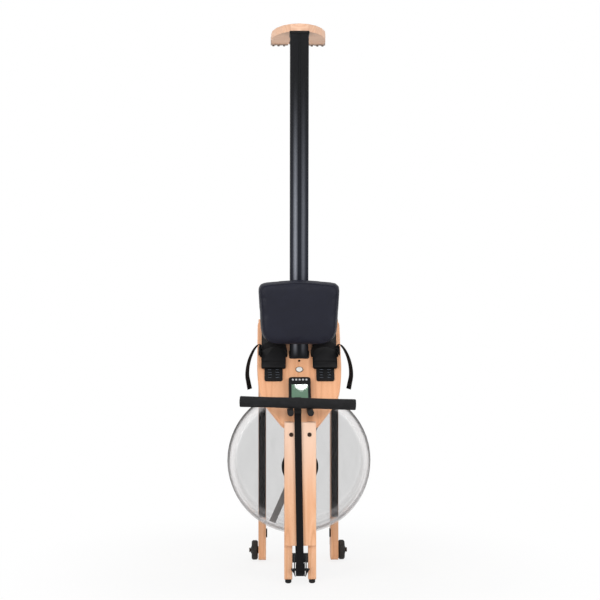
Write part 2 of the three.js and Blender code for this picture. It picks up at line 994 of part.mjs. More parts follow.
function frontPulley() {
  const half = strapWidth / 2 + runningGap;
  const bore = pulleyAxleRadius + pulleyBoreGap;
  const rim = pulleyRadius + pulleyFlangeRise;
  const geometry = crosswise([
    [bore, -half - pulleyFlange],
    [rim, -half - pulleyFlange],
    [rim, -half],
    [pulleyRadius, -half],
    [pulleyRadius, half],
    [rim, half],
    [rim, half + pulleyFlange],
    [bore, half + pulleyFlange],
    [bore, -half - pulleyFlange],
  ]);
  return moved(named("front_pulley", geometry, "blackPlastic"), 0, pulleyHeight, pulleyAlong);
}

function recoilPulley() {
  const half = recoilPulleyWidth / 2;
  const floor = recoilRunRadius - cordRadius - runningGap;
  const rim = floor + cordRadius + recoilPulleyLip;
  const reach = deckGap / 2 - seatGap;
  const geometry = crosswise(
    [
      [0, -reach],
      [recoilAxleRadius, -reach],
      [recoilAxleRadius, -half - recoilPulleyOut],
      [rim, -half - recoilPulleyOut],
      [floor, -cordRadius - recoilPulleyOut],
      [floor, cordRadius - recoilPulleyOut],
      [rim, half - recoilPulleyOut],
      [recoilAxleRadius, half - recoilPulleyOut],
      [recoilAxleRadius, reach],
      [0, reach],
    ],
    smallSides,
  );
  return moved(named("recoil_pulley", geometry, "blackPlastic"), 0, recoilPulleyHeight, recoilPulleyAlong);
}

function driveStrap() {
  const half = strapWidth / 2;
  const end = clipFront - seatGap;
  const outline = rounded([
    [half, pulleyAlong],
    [half - handleShift, end],
    [-half - handleShift, end],
    [-half, pulleyAlong],
  ]);
  return named("drive_strap", plate(outline, strapThickness, strapRunHeight - strapThickness / 2), "webbing");
}

// The strap's hidden run: round the pulley, back with a quarter twist, and half round the drum
function returnStrap() {
  const stations = [];
  const add = (at, wide, thick) => stations.push({ at, wide, thick });
  const point = (x, height, along) => new THREE.Vector3(x, -height, along);
  const start = runningGap / strapRunRadius;
  for (let i = 0; i <= wrapSteps; i++) {
    const angle = start + (i / wrapSteps) * (Math.PI - start);
    const out = new THREE.Vector3(0, -Math.cos(angle), -Math.sin(angle));
    const at = point(0, pulleyHeight, pulleyAlong).addScaledVector(out, strapRunRadius);
    add(at, new THREE.Vector3(1, 0, 0), out);
  }
  const leave = point(0, pulleyHeight - strapRunRadius, pulleyAlong);
  const arrive = point(-strapOnDrumRadius, strapOnDrumHeight, tankAlong);
  const guided = leave.clone().lerp(arrive, (guideAlong - pulleyAlong) / (tankAlong - pulleyAlong));
  guided.y = arrive.y;
  for (let i = 1; i <= twistSteps; i++) {
    const share = i / twistSteps;
    const angle = (Math.min(share / twistShare, 1) * Math.PI) / 2;
    const wide = new THREE.Vector3(Math.cos(angle), -Math.sin(angle), 0);
    const thick = new THREE.Vector3(Math.sin(angle), Math.cos(angle), 0);
    add(leave.clone().lerp(guided, share), wide, thick);
  }
  for (let i = 0; i <= wrapSteps; i++) {
    const angle = (i / wrapSteps) * Math.PI;
    const out = new THREE.Vector3(-Math.cos(angle), 0, Math.sin(angle));
    const at = point(0, strapOnDrumHeight, tankAlong).addScaledVector(out, strapOnDrumRadius);
    add(at, new THREE.Vector3(0, -1, 0), out.negate());
  }
  return named("return_strap", band(stations, strapWidth, strapThickness), "webbing");
}

// The stretching cord: half round the drum's spool, back round its pulley and forward to the bracket
function recoilCord() {
  const point = (x, height, along) => new THREE.Vector3(x, -height, along);
  const path = new THREE.CurvePath();
  const spool = Array.from({ length: wrapSteps + 1 }, (_, i) => {
    const angle = (i / wrapSteps) * Math.PI;
    const [x, along] = [Math.cos(angle), -Math.sin(angle)].map((part) => part * cordOnDrumRadius);
    return point(x, cordOnDrumHeight, tankAlong + along);
  });
  const pulleyTurn = Array.from({ length: wrapSteps + 1 }, (_, i) => {
    const angle = (i / wrapSteps) * Math.PI;
    const height = recoilPulleyHeight - recoilRunRadius * Math.cos(angle);
    return point(-recoilPulleyOut, height, recoilPulleyAlong + recoilRunRadius * Math.sin(angle));
  });
  const end = point(-recoilPulleyOut, cordAnchorHeight, bracketBarFront + bracketBarLength + seatGap);
  const stops = [...spool, ...pulleyTurn, end];
  stops.slice(1).forEach((stop, i) => path.add(new THREE.LineCurve3(stops[i], stop)));
  const section = new THREE.Shape().absarc(0, 0, cordRadius, 0, 2 * Math.PI);
  const geometry = new THREE.ExtrudeGeometry(section, {
    extrudePath: path,
    steps: cordSteps,
    curveSegments: cordSides / 2,
    bevelEnabled: false,
  });
  return named("recoil_cord", geometry, "rubber");
}

function drive() {
  const group = new THREE.Group();
  group.add(driveFrame(), drum(), paddle(), pulleyBracket(), frontPulley(), recoilPulley());
  group.add(driveStrap(), returnStrap(), recoilCord());
  return group;
}

// Handle, hung on its pegs a little askew

function handle() {
  const half = handleLength / 2;
  const grip = crosswise([
    [0, -half],
    [handleRadius - handleEndRound, -half],
    [handleRadius, -half + handleEndRound],
    [handleRadius - handleWaist, -half / 2],
    [handleRadius, 0],
    [handleRadius - handleWaist, half / 2],
    [handleRadius, half - handleEndRound],
    [handleRadius - handleEndRound, half],
    [0, half],
  ]).rotateY(radians(handleTiltDegrees));
  const drop = handleHeight - strapRunHeight;
  const clip = plate(
    rectangle(clipWidth / 2, -clipReach, 0, clipCorner),
    clipThickness,
    -drop - clipThickness / 2,
  );
  return moved(named("handle", join(grip, clip), "blackPlastic"), -handleShift, handleHeight, handleAlong);
}

// Rail, rear foot and seat, in the rail's frame

function monorail() {
  const half = railWidth / 2;
  const grooveTop = -railSideGrooveDrop;
  const grooveFoot = grooveTop - railSideGroove;
  const side = [
    [half, -railDepth, railWall],
    [half, grooveFoot],
    [half - railSideGrooveDepth, grooveFoot],
    [half - railSideGrooveDepth, grooveTop],
    [half, grooveTop],
    [half, 0, railShoulder],
    [railCentreGroove / 2, 0],
    [railCentreGroove / 2, -railCentreGrooveDepth],
  ];
  const other = side.map(([x, height, radius]) => [-x, height, radius]).reverse();
  const outline = rounded([...side, ...other]);
  const inner = half - railSideGrooveDepth - railWall;
  hole(
    outline,
    rounded([
      [-inner, -railDepth + railWall, railWall],
      [inner, -railDepth + railWall, railWall],
      [inner, -railCentreGrooveDepth - railWall, railWall],
      [-inner, -railCentreGrooveDepth - railWall, railWall],
    ]),
  );
  return named("monorail", cut(bar(outline, railLength), railNose(0)), "railBlack");
}

const railRearTop = railTopAt(railFront) + railLength * Math.sin(railSlope);
const rearFootDrop = railRearTop / Math.cos(railSlope);

function rearFoot() {
  const half = rearFootWidth / 2;
  const low = -rearFootDrop + treadHeight;
  const wide = low + rearFootSide;
  const outline = new THREE.Shape();
  outline.moveTo(-half + rearFootTuck, low);
  outline.lineTo(half - rearFootTuck, low);
  outline.quadraticCurveTo(half, low + rearFootTuck, half, wide);
  outline.absellipse(0, wide, half, -wide, 0, Math.PI);
  outline.quadraticCurveTo(-half, low + rearFootTuck, -half + rearFootTuck, low);
  return named("rear_foot", bar(outline, rearFootThickness, railLength + seatGap), "wood");
}

function rearPad(side, sign) {
  const top = -rearFootDrop + treadHeight - seatGap;
  const outline = new THREE.Shape();
  const radius = treadPitch / 2;
  const start = treadOuter - (treadCount - 1) * treadPitch - radius;
  outline.moveTo(start, top);
  outline.lineTo(start, top - treadWeb);
  for (let i = 0; i < treadCount; i++) {
    const centre = start + radius + i * treadPitch;
    outline.absellipse(centre, top - treadWeb, radius, treadHeight - treadWeb, Math.PI, 2 * Math.PI);
  }
  outline.lineTo(start + treadCount * treadPitch, top);
  const length = rearFootThickness + treadReach;
  const geometry = bar(outline, length, -length / 2);
  if (sign < 0) geometry.rotateY(Math.PI);
  const along = railLength + seatGap + rearFootThickness - length / 2;
  return moved(named(`${side}_rear_foot_pad`, geometry, "rubber"), 0, 0, along);
}

// The seat's outline at a share of its size, as points of [across, along]
function seatOutline() {
  const half = padWidth / 2;
  const long = padLengthAlong / 2;
  return rounded([
    [half - padTaper, -long, padLowerCorner],
    [half, long - padPeak, padUpperCorner],
    [0, long, half * padPeakRoundShare],
    [-half, long - padPeak, padUpperCorner],
    [-half + padTaper, -long, padLowerCorner],
  ]);
}

function seatPad() {
  const outline = seatOutline().getSpacedPoints(padPoints).slice(0, -1);
  // Shares of the outline's size and of the thickness, from the underside up over the crown
  const ringShares = [
    [0.955, 0],
    [0.99, 0.1],
    [1, 0.35],
    [0.99, 0.66],
    [0.965, 0.84],
    [0.92, 0.93],
    [0.72, 0.975],
    [0.4, 1],
  ];
  const rings = ringShares.map(([size, rise]) =>
    outline.map(({ x, y }) => new THREE.Vector3(x * size, -rise * padThickness, y * size)),
  );
  return loft(rings);
}

const rollerLine = rollerRadius + seatGap;
const seatPlateBase = rollerLine + rollerRadius + runningGap;

function seatCarriage() {
  const sheet = plate(
    rectangle(seatPlateWidth / 2, -seatPlateLength / 2, seatPlateLength / 2, seatPlateCorner),
    seatPlateThickness,
    seatPlateBase,
  );
  const inner = railWidth / 2 + cheekGap;
  const shoeTop = -railSideGrooveDrop - (railSideGroove - shoeHeight) / 2;
  const pieces = mirrored.flatMap(([, sign]) => {
    const across = [sign * inner, sign * (inner + cheekThickness)].sort((a, b) => a - b);
    const shoeTip = railWidth / 2 - railSideGrooveDepth + cheekGap / 2;
    const shoeAcross = [sign * shoeTip, sign * (inner + cheekThickness / 2)].sort((a, b) => a - b);
    const cheekFoot = shoeTop - shoeHeight;
    const cheekTop = seatPlateBase + runningGap;
    const cheek = block(across, [cheekFoot, cheekTop], [-cheekLength / 2, cheekLength / 2]);
    const shoes = mirrored.map(([, end]) => {
      const centre = (end * rollerSpacing) / 2;
      return block(
        shoeAcross,
        [cheekFoot, shoeTop],
        [centre - shoeLength / 2, centre + shoeLength / 2],
      );
    });
    return [cheek, ...shoes];
  });
  return named("seat_carriage", join(sheet, ...pieces), "blackSteel");
}

// Two rollers on one axle between the carriage's cheeks
function rollerSet(name, along) {
  const end = railWidth / 2 + cheekGap - seatGap;
  const inside = rollerOut - rollerWidth / 2;
  const outside = rollerOut + rollerWidth / 2;
  const half = [
    [rollerAxleRadius, inside],
    [rollerRadius - rollerRound, inside],
    [rollerRadius, inside + rollerRound],
    [rollerRadius, outside - rollerRound],
    [rollerRadius - rollerRound, outside],
    [rollerAxleRadius, outside],
    [rollerAxleRadius, end],
    [0, end],
  ];
  const other = half.map(([radius, x]) => [radius, -x]).reverse();
  const geometry = crosswise([...other, ...half], smallSides);
  return moved(named(name, geometry, "blackPlastic"), 0, rollerLine, along);
}

function seat() {
  const group = new THREE.Group();
  const pad = named("seat_pad", seatPad(), "vinyl");
  group.add(moved(pad, 0, seatPlateBase + seatPlateThickness + seatGap, padShift));
  group.add(seatCarriage());
  group.add(rollerSet("front_rollers", -rollerSpacing / 2));
  group.add(rollerSet("rear_rollers", rollerSpacing / 2));
  return moved(group, 0, 0, seatRestAlong);
}

function rail() {
  const group = new THREE.Group();
  group.add(monorail(), rearFoot(), seat());
  for (const [side, sign] of mirrored) group.add(rearPad(side, sign));
  return inRailFrame(group);
}

// Foot plates, heel rests and straps, in the panel's frame

function footPlate(side, sign) {
  const half = tongueWidth / 2;
  const ear = earWidth / 2;
  const outline = rounded([
    [-half, -tongueTop, tongueCorner],
    [half, -tongueTop, tongueCorner],
    [half, loopAlong - earLength / 2],
    [ear, loopAlong - earLength / 2, tongueCorner / 2],
    [ear, loopAlong + earLength / 2, tongueCorner / 2],
    [half, loopAlong + earLength / 2],
    [half, tongueFoot, tongueCorner],
    [-half, tongueFoot, tongueCorner],
    [-half, loopAlong + earLength / 2],
    [-ear, loopAlong + earLength / 2, tongueCorner / 2],
    [-ear, loopAlong - earLength / 2, tongueCorner / 2],
    [-half, loopAlong - earLength / 2],
  ]);
  const slots = Array.from({ length: slotRows }, (_, row) => -slotTop + row * slotPitch).flatMap((along) =>
    mirrored.map(([, column]) => {
      const x = column * slotOut;
      return block(
        [x - slotWidth / 2, x + slotWidth / 2],
        [-overrun, overrun],
        [along, along + slotHeight],
      );
    }),
  );
  const geometry = cut(plate(outline, tongueThickness, seatGap), ...slots);
  return moved(named(`${side}_foot_plate`, geometry, "blackPlastic"), sign * footOut, 0, 0);
}

const heelBase = tongueThickness + 2 * seatGap;

function heelRest(side, sign) {
  const half = heelWidth / 2;
  const base = plate(
    rounded([
      [-half, -heelTop, heelCorner],
      [half, -heelTop, heelCorner],
      [half, heelFoot, half],
      [-half, heelFoot, half],
    ]),
    heelThickness,
    heelBase,
  );
  const inner = half - heelCupWall;
  const cup = rounded([
    [-half, heelFoot - half],
    [-half, heelFoot, half],
    [half, heelFoot, half],
    [half, heelFoot - half],
    [inner, heelFoot - half],
    [inner, heelFoot - heelCupWall, inner],
    [-inner, heelFoot - heelCupWall, inner],
    [-inner, heelFoot - half],
  ]);
  const geometry = join(base, plate(cup, heelCupHeight, heelBase));
  return moved(named(`${side}_heel_rest`, geometry, "blackPlastic"), sign * footOut, 0, 0);
}

// The strap's arch over the foot, from one ear of the plate to the other
function footStrap(side, sign) {
  const across = earWidth / 2 - webbingThickness;
  const base = heelBase;
  const stations = Array.from({ length: loopSteps + 1 }, (_, i) => {
    const angle = Math.PI * (1 - i / loopSteps);
    const at = new THREE.Vector3(across * Math.cos(angle), -base - loopRise * Math.sin(angle), loopAlong);
    const out = new THREE.Vector3(loopRise * Math.cos(angle), -across * Math.sin(angle), 0).normalize();
    return { at, wide: new THREE.Vector3(0, 0, 1), thick: out };
  });
  const geometry = band(stations, webbingWidth, webbingThickness);
  return moved(named(`${side}_foot_strap`, geometry, "webbing"), sign * footOut, 0, 0);
}

function monitorCase() {
  const front = -monitorRear - monitorLength;
  const body = plate(
    rectangle(monitorWidth / 2, front, -monitorRear, monitorCorner),
    monitorThickness,
    seatGap,
    monitorEdge,
  );
  const top = seatGap + monitorThickness;
  const pocket = block(
    [-windowWidth / 2, windowWidth / 2],
    [top - windowDepth, top + overrun],
    [front + windowMargin, front + windowMargin + windowLength],
  );
  const wells = buttonPlaces().map(([x, along]) =>
    block(
      [x - buttonWidth / 2 - buttonGap, x + buttonWidth / 2 + buttonGap],
      [top - buttonWell, top + overrun],
      [along - buttonLength / 2 - buttonGap, along + buttonLength / 2 + buttonGap],
    ),
  );
  return named("monitor_case", cut(body, pocket, ...wells), "blackPlastic");
}

function monitorWindow() {
  const front = -monitorRear - monitorLength + windowMargin;
  const top = seatGap + monitorThickness;
  const half = windowWidth / 2 - seatGap;
  const geometry = block(
    [-half, half],
    [top - windowDepth + seatGap, top],
    [front + seatGap, front + windowLength - seatGap],
  );
  return named("monitor_window", geometry, "display");
}

function buttonPlaces() {
  const middle = (buttonCount - 1) / 2;
  const along = -monitorRear - buttonInset;
  return Array.from({ length: buttonCount }, (_, i) => [(i - middle) * buttonPitch, along]);
}

function buttons() {
  const top = seatGap + monitorThickness;
  return buttonPlaces().map(([x, along], i) => {
    const geometry = block(
      [x - buttonWidth / 2, x + buttonWidth / 2],
      [top - buttonWell + buttonRise, top + buttonRise],
      [along - buttonLength / 2, along + buttonLength / 2],
    );
    return named(`button_${i + 1}`, geometry, "greyPlastic");
  });
}

function panelFittings() {
  const group = new THREE.Group();
  for (const [side, sign] of mirrored) {
    group.add(footPlate(side, sign), heelRest(side, sign), footStrap(side, sign));
  }
  group.add(monitorCase(), monitorWindow(), ...buttons());
  return inPanelFrame(group);
}

// The free ends of the foot straps, which curl over and hang. Each place is [out, up, along, turn]
// from the outer edge of the foot plate's ear, with the turn of the band in degrees.
const tailRoute = [
  [0.1, 0, 0, 90],
  [2, 13, 16, 90],
  [13, 23, 22, 86],
  [27, 26, 7, 82],
  [38, 25, -26, 76],
  [44, 22, -64, 62],
  [44, 20, -95, 42],
  [41, 18, -122, 24],
  [38, 17, -145, 14],
];

function strapTail(side, sign) {
  const start = [footOut + earWidth / 2, panelCrossHeight, panelCrossAlong + tailPastCrossing];
  const curve = new THREE.CatmullRomCurve3(
    tailRoute.map(([out, up, along]) => {
      return new THREE.Vector3(sign * (start[0] + out), -start[1] - up, start[2] + along);
    }),
  );
  const turns = new THREE.CatmullRomCurve3(
    tailRoute.map((stop) => new THREE.Vector3(radians(stop[3]), 0, 0)),
  );
  const stations = Array.from({ length: tailSteps + 1 }, (_, i) => {
    const at = curve.getPoint(i / tailSteps);
    const ahead = curve.getTangent(i / tailSteps);
    const turn = turns.getPoint(i / tailSteps).x;
    const level = new THREE.Vector3(sign * Math.cos(turn), -Math.sin(turn), 0);
    const wide = level.addScaledVector(ahead, -level.dot(ahead)).normalize();
    const thick = new THREE.Vector3().crossVectors(ahead, wide).normalize();
    return { at, wide, thick };
  });
  return named(`${side}_strap_tail`, band(stations, tailWidth, tailThickness), "webbing");
}

// The whole machine, with its origin at the middle of its underside

const machine = new THREE.Group();
machine.add(hull(), transport(), tank(), deck(), drive(), handle(), rail(), panelFittings());
for (const [side, sign] of mirrored) machine.add(strapTail(side, sign));

const root = new THREE.Group();
root.add(machine);
root.updateMatrixWorld(true);
const extent = new THREE.Box3().setFromObject(machine, true);
const centre = extent.getCenter(new THREE.Vector3());
machine.position.set(-centre.x, -centre.y, -extent.min.z);

export default root;
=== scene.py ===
"""Looks of a wooden water rowing machine that stands on its front end.

Every shape is worked in millimetres in one of three working frames (level with the hull, on the
foot panel, on the rail) and then settled into the machine's own frame, in metres.
"""

import logging
import math
from collections.abc import Iterator, Sequence
from contextlib import contextmanager
from dataclasses import dataclass
from enum import Enum

import bmesh
import bpy
from mathutils import Matrix, Vector
from mathutils.bvhtree import BVHTree


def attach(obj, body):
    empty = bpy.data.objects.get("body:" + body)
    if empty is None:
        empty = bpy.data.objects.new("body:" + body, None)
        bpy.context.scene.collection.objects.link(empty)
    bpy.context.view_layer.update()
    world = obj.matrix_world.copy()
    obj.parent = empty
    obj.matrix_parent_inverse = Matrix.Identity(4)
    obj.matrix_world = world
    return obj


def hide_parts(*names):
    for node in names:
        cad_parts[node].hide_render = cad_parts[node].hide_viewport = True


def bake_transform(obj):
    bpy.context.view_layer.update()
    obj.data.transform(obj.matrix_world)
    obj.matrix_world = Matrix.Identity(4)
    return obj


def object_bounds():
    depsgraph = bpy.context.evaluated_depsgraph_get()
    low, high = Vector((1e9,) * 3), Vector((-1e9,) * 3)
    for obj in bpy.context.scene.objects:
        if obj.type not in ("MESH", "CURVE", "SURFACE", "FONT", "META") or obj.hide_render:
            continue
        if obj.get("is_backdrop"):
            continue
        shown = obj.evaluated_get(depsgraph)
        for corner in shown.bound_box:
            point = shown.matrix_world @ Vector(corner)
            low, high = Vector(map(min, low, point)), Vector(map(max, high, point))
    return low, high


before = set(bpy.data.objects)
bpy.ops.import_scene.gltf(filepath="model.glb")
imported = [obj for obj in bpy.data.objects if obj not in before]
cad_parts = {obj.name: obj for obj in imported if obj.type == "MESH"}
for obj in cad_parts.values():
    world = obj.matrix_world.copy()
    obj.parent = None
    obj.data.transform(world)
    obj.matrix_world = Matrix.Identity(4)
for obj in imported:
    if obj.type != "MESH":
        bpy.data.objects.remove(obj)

LOG = logging.getLogger("rowing_machine")
MM = 0.001
CAD_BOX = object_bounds()

Piece = bpy.types.Object
Socket = bpy.types.NodeSocket
Pair = tuple[float, float]
Triple = tuple[float, float, float]
Links = dict[int | str, object]
UP, DOWN, FRONT, RIGHT = (0, 0, 1), (0, 0, -1), (0, -1, 0), (1, 0, 0)


# ---------------------------------------------------------------- names and working frames


class Body(Enum):
    """The moving bodies that pieces ride on."""

    FRAME = "frame"
    SEAT = "seat"
    HANDLE = "handle_and_strap"
    DRUM = "drum"
    LEFT_HEEL = "left_heel"
    RIGHT_HEEL = "right_heel"
    KEY_1 = "key_1"
    KEY_2 = "key_2"
    KEY_3 = "key_3"
    KEY_4 = "key_4"
    KEY_5 = "key_5"


class Slot(Enum):
    """The record's material slots."""

    WOOD = "wood"
    RUBBER = "rubber"
    RAIL = "rail"
    CLEAR = "clear_plastic"
    GREY = "grey_plastic"
    BLACK = "black_plastic"
    STEEL = "black_steel"
    WEBBING = "webbing"
    VINYL = "vinyl"
    BRONZE = "bronze"
    GRIP = "grip"
    DISPLAY = "display"
    BUTTON = "button"


class Side(Enum):
    """The two sides of the machine, with the sign of their X."""

    LEFT = -1
    RIGHT = 1

    @property
    def word(self) -> str:
        """Returns: the side's name as the CAD nodes write it."""
        return self.name.lower()

    def place(self, across: float, along: float = 0.0, height: float = 0.0) -> Matrix:
        """Returns: the move to a place on this side, where across is counted outward."""
        return Matrix.Translation((self.value * across, along, height))


class Grain(Enum):
    """How a board's grain lies: the turn about X, Y and Z, in degrees, onto the pattern's Z."""

    ALONG = (0.0, 0.0, 0.0)
    PANEL = (38.7, 0.0, 0.0)
    ACROSS = (0.0, 90.0, 0.0)


@dataclass(frozen=True)
class Datum:
    """A working frame: X across the machine, Y along it and Z off its face, in millimetres.

    Args:
        origin: where it starts in the machine's frame, in metres.
        slope: how far its Y leans from the machine's length, in degrees.
    """

    origin: Triple
    slope: float = 0.0

    def to_machine(self) -> Matrix:
        """Returns: the matrix from this frame's millimetres to the machine's metres."""
        lean = math.radians(self.slope)
        ox, oy, oz = self.origin
        turn = Matrix((
            (1, 0, 0, ox),
            (0, math.sin(lean), -math.cos(lean), oy),
            (0, math.cos(lean), math.sin(lean), oz),
            (0, 0, 0, 1),
        ))
        return turn @ Matrix.Scale(MM, 4)


LEVEL = Datum((0.0, 0.256721, 0.0))
PANEL = Datum((0.0, 0.020721, 0.832), 38.7)
RAIL = Datum((0.0, 0.027155, 0.740), -4.0)


# ---------------------------------------------------------------- the workbench


def alone(piece: Piece) -> None:
    """Selects one piece and nothing else.

    Args:
        piece: the piece.
    """
    bpy.ops.object.select_all(action="DESELECT")
    piece.select_set(True)
    bpy.context.view_layer.objects.active = piece


@contextmanager
def editing(piece: Piece, kind: str = "FACE", all_of_it: bool = False) -> Iterator[None]:
    """Opens one piece in edit mode, and closes it again.

    Args:
        piece: the piece to work on.
        kind: what is selected: VERT, EDGE or FACE.
        all_of_it: whether all of the piece is selected, or nothing.
    """
    alone(piece)
    bpy.ops.object.mode_set(mode="EDIT")
    bpy.ops.mesh.select_mode(type=kind)
    bpy.ops.mesh.select_all(action="SELECT" if all_of_it else "DESELECT")
    yield
    bpy.ops.object.mode_set(mode="OBJECT")


def pick(piece: Piece, way: Sequence[float]) -> None:
    """Selects the faces that look along a direction, to within 8 degrees, in edit mode.

    Args:
        piece: the piece that is open in edit mode.
        way: the direction, of length 1.
    """
    bpy.ops.mesh.select_all(action="DESELECT")
    mesh = bmesh.from_edit_mesh(piece.data)
    for face in mesh.faces:
        if face.normal.dot(Vector(way)) > 0.99:
            face.select_set(True)
    mesh.select_flush_mode()
    bmesh.update_edit_mesh(piece.data)


def push(way: Sequence[float], distance: float) -> None:
    """Extrudes what is selected, by a distance along a direction of length 1."""
    bpy.ops.mesh.extrude_region_move(TRANSFORM_OT_translate={"value": tuple(Vector(way) * distance)})


def pressed(piece: Piece, way: Sequence[float], rim: float, depth: float = 0.0,
            rise: float = 0.0) -> Piece:
    """Insets the faces that look along a direction, and moves what is inside the rim.

    Args:
        piece: the piece.
        way: the direction, of length 1.
        rim: the width of the rim that stays.
        depth: how deep the inside is pressed in, with upright walls.
        rise: how far the inside is raised, with sloping walls.

    Returns:
        The same piece.
    """
    with editing(piece):
        pick(piece, way)
        bpy.ops.mesh.inset(thickness=rim)
        if rise:
            bpy.ops.transform.translate(value=tuple(Vector(way) * rise))
        if depth:
            push(way, -depth)
    return piece


def fresh(name: str) -> Piece:
    """Names the primitive that was just added and puts its place and size into its mesh.

    Args:
        name: the new piece's name.

    Returns:
        The new piece.
    """
    piece = bpy.context.active_object
    piece.name = piece.data.name = name
    alone(piece)
    bpy.ops.object.transform_apply(location=True, rotation=True, scale=True)
    return piece


def cut_block(name: str, size: Triple, centre: Triple) -> Piece:
    """Returns: a rectangular blank of a size along X, Y and Z about its middle."""
    bpy.ops.mesh.primitive_cube_add(size=1, location=centre, scale=size)
    return fresh(name)


def cut_rod(name: str, radius: float, depth: float, centre: Triple, sides: int,
            tilt: float = 0.0) -> Piece:
    """Returns: a round blank on Z about its middle, tilted about X by degrees."""
    bpy.ops.mesh.primitive_cylinder_add(vertices=sides, radius=radius, depth=depth, location=centre,
                                        rotation=(math.radians(tilt), 0, 0))
    return fresh(name)


def modelled(name: str, points: Sequence, edges: Sequence, faces: Sequence) -> Piece:
    """Makes a piece from plain points, edges and faces.

    Args:
        name: the piece's name.
        points: its points.
        edges: pairs of points.
        faces: rings of points.

    Returns:
        The piece.
    """
    mesh = bpy.data.meshes.new(name)
    mesh.from_pydata(points, edges, faces)
    piece = bpy.data.objects.new(name, mesh)
    bpy.context.collection.objects.link(piece)
    return piece


def turned(name: str, profile: Sequence[Pair], steps: int, axis: Sequence[int] = UP,
           closed: bool = False) -> Piece:
    """Spins a profile of (radius, offset) round a line through the origin.

    Args:
        name: the piece's name.
        profile: its corners, in order.
        steps: how many steps make the round.
        axis: the line, UP or RIGHT.
        closed: whether the last corner joins the first.

    Returns:
        The turned piece.
    """
    points = [(radius, 0, offset) if axis == UP else (offset, 0, radius) for radius, offset in profile]
    edges = [(i, i + 1) for i in range(len(points) - 1)] + ([(len(points) - 1, 0)] if closed else [])
    piece = modelled(name, points, edges, [])
    with editing(piece, "VERT", all_of_it=True):
        bpy.ops.mesh.spin(steps=steps, angle=2 * math.pi, center=(0, 0, 0), axis=axis)
        bpy.ops.mesh.select_all(action="SELECT")
        bpy.ops.mesh.remove_doubles(threshold=1e-3)
        bpy.ops.mesh.normals_make_consistent(inside=False)
    return piece


def rounded(profile: Sequence[Triple], steps: int = 4) -> list[Pair]:
    """Rounds the corners of a closed outline.

    Args:
        profile: corners as (u, v, radius).
        steps: how many points make a corner.

    Returns:
        The outline's points.
    """
    points: list[Pair] = []
    for i, (u, v, radius) in enumerate(profile):
        here = Vector((u, v))
        neighbours = (Vector(profile[j][:2]) for j in (i - 1, (i + 1) % len(profile)))
        before, after = (here + (there - here).normalized() * radius for there in neighbours)
        for t in evenly(0, 1, steps):
            point = before * (1 - t) ** 2 + here * 2 * t * (1 - t) + after * t * t
            points.append((point.x, point.y))
    return points


def evenly(start: float, end: float, steps: int) -> list[float]:
    """Returns: the numbers from start to end in that many equal steps."""
    return [start + (end - start) * i / steps for i in range(steps + 1)]


def tablet(half: float, ends: Pair, radius: float, steps: int = 4, middle: float = 0.0) -> list[Pair]:
    """Draws a rectangle with rounded corners.

    Args:
        half: half of its width.
        ends: where it starts and ends along the machine.
        radius: its corners' radius.
        steps: how many points make a corner.
        middle: where its middle is across.

    Returns:
        The outline's points.
    """
    low, high = ends
    left, right = middle - half, middle + half
    return rounded([(right, low, radius), (right, high, radius), (left, high, radius),
                    (left, low, radius)], steps)


def plated(name: str, outline: Sequence[Pair], low: float, high: float) -> Piece:
    """Extrudes an outline of (across, along) from one height to another.

    Args:
        name: the piece's name.
        outline: its points in order.
        low: where it starts.
        high: where it ends.

    Returns:
        The plate.
    """
    piece = modelled(name, [(x, y, low) for x, y in outline], [], [range(len(outline))])
    with editing(piece, all_of_it=True):
        push(UP, high - low)
        bpy.ops.mesh.select_all(action="SELECT")
        bpy.ops.mesh.normals_make_consistent(inside=False)
    return piece


def applied(piece: Piece, kind: str, **settings: object) -> Piece:
    """Adds a modifier and applies it.

    Args:
        piece: the piece.
        kind: the modifier's type.
        settings: its settings.

    Returns:
        The same piece.
    """
    alone(piece)
    modifier = piece.modifiers.new(kind.title(), kind)
    for name, value in settings.items():
        setattr(modifier, name, value)
    bpy.ops.object.modifier_apply(modifier=modifier.name)
    return piece


def softened(piece: Piece, width: float, angle: float = 35.0) -> Piece:
    """Returns: the piece with its edges rounded where they are sharper than an angle in degrees."""
    return applied(piece, "BEVEL", width=width, segments=2, limit_method="ANGLE",
                   angle_limit=math.radians(angle), harden_normals=False)


def smoothed(piece: Piece, angle: float = 35.0) -> Piece:
    """Shades a piece smooth, except where its faces meet sharply.

    Args:
        piece: the piece.
        angle: the sharpest smooth meeting, in degrees.

    Returns:
        The same piece.
    """
    alone(piece)
    bpy.ops.object.shade_smooth_by_angle(angle=math.radians(angle))
    return piece


def copied(piece: Piece, name: str, place: Matrix) -> Piece:
    """Copies a piece with its own mesh.

    Args:
        piece: the piece to copy.
        name: the copy's name.
        place: where the copy goes, in the piece's own frame.

    Returns:
        The copy.
    """
    copy = bpy.data.objects.new(name, piece.data.copy())
    copy.data.name = name
    copy.data.transform(place)
    bpy.context.collection.objects.link(copy)
    return copy


def joined(name: str, *pieces: Piece) -> Piece:
    """Joins pieces into one.

    Args:
        name: its name.
        pieces: what is joined.

    Returns:
        The joined piece.
    """
    alone(pieces[0])
    for piece in pieces[1:]:
        piece.select_set(True)
    bpy.ops.object.join()
    pieces[0].name = pieces[0].data.name = name
    return pieces[0]


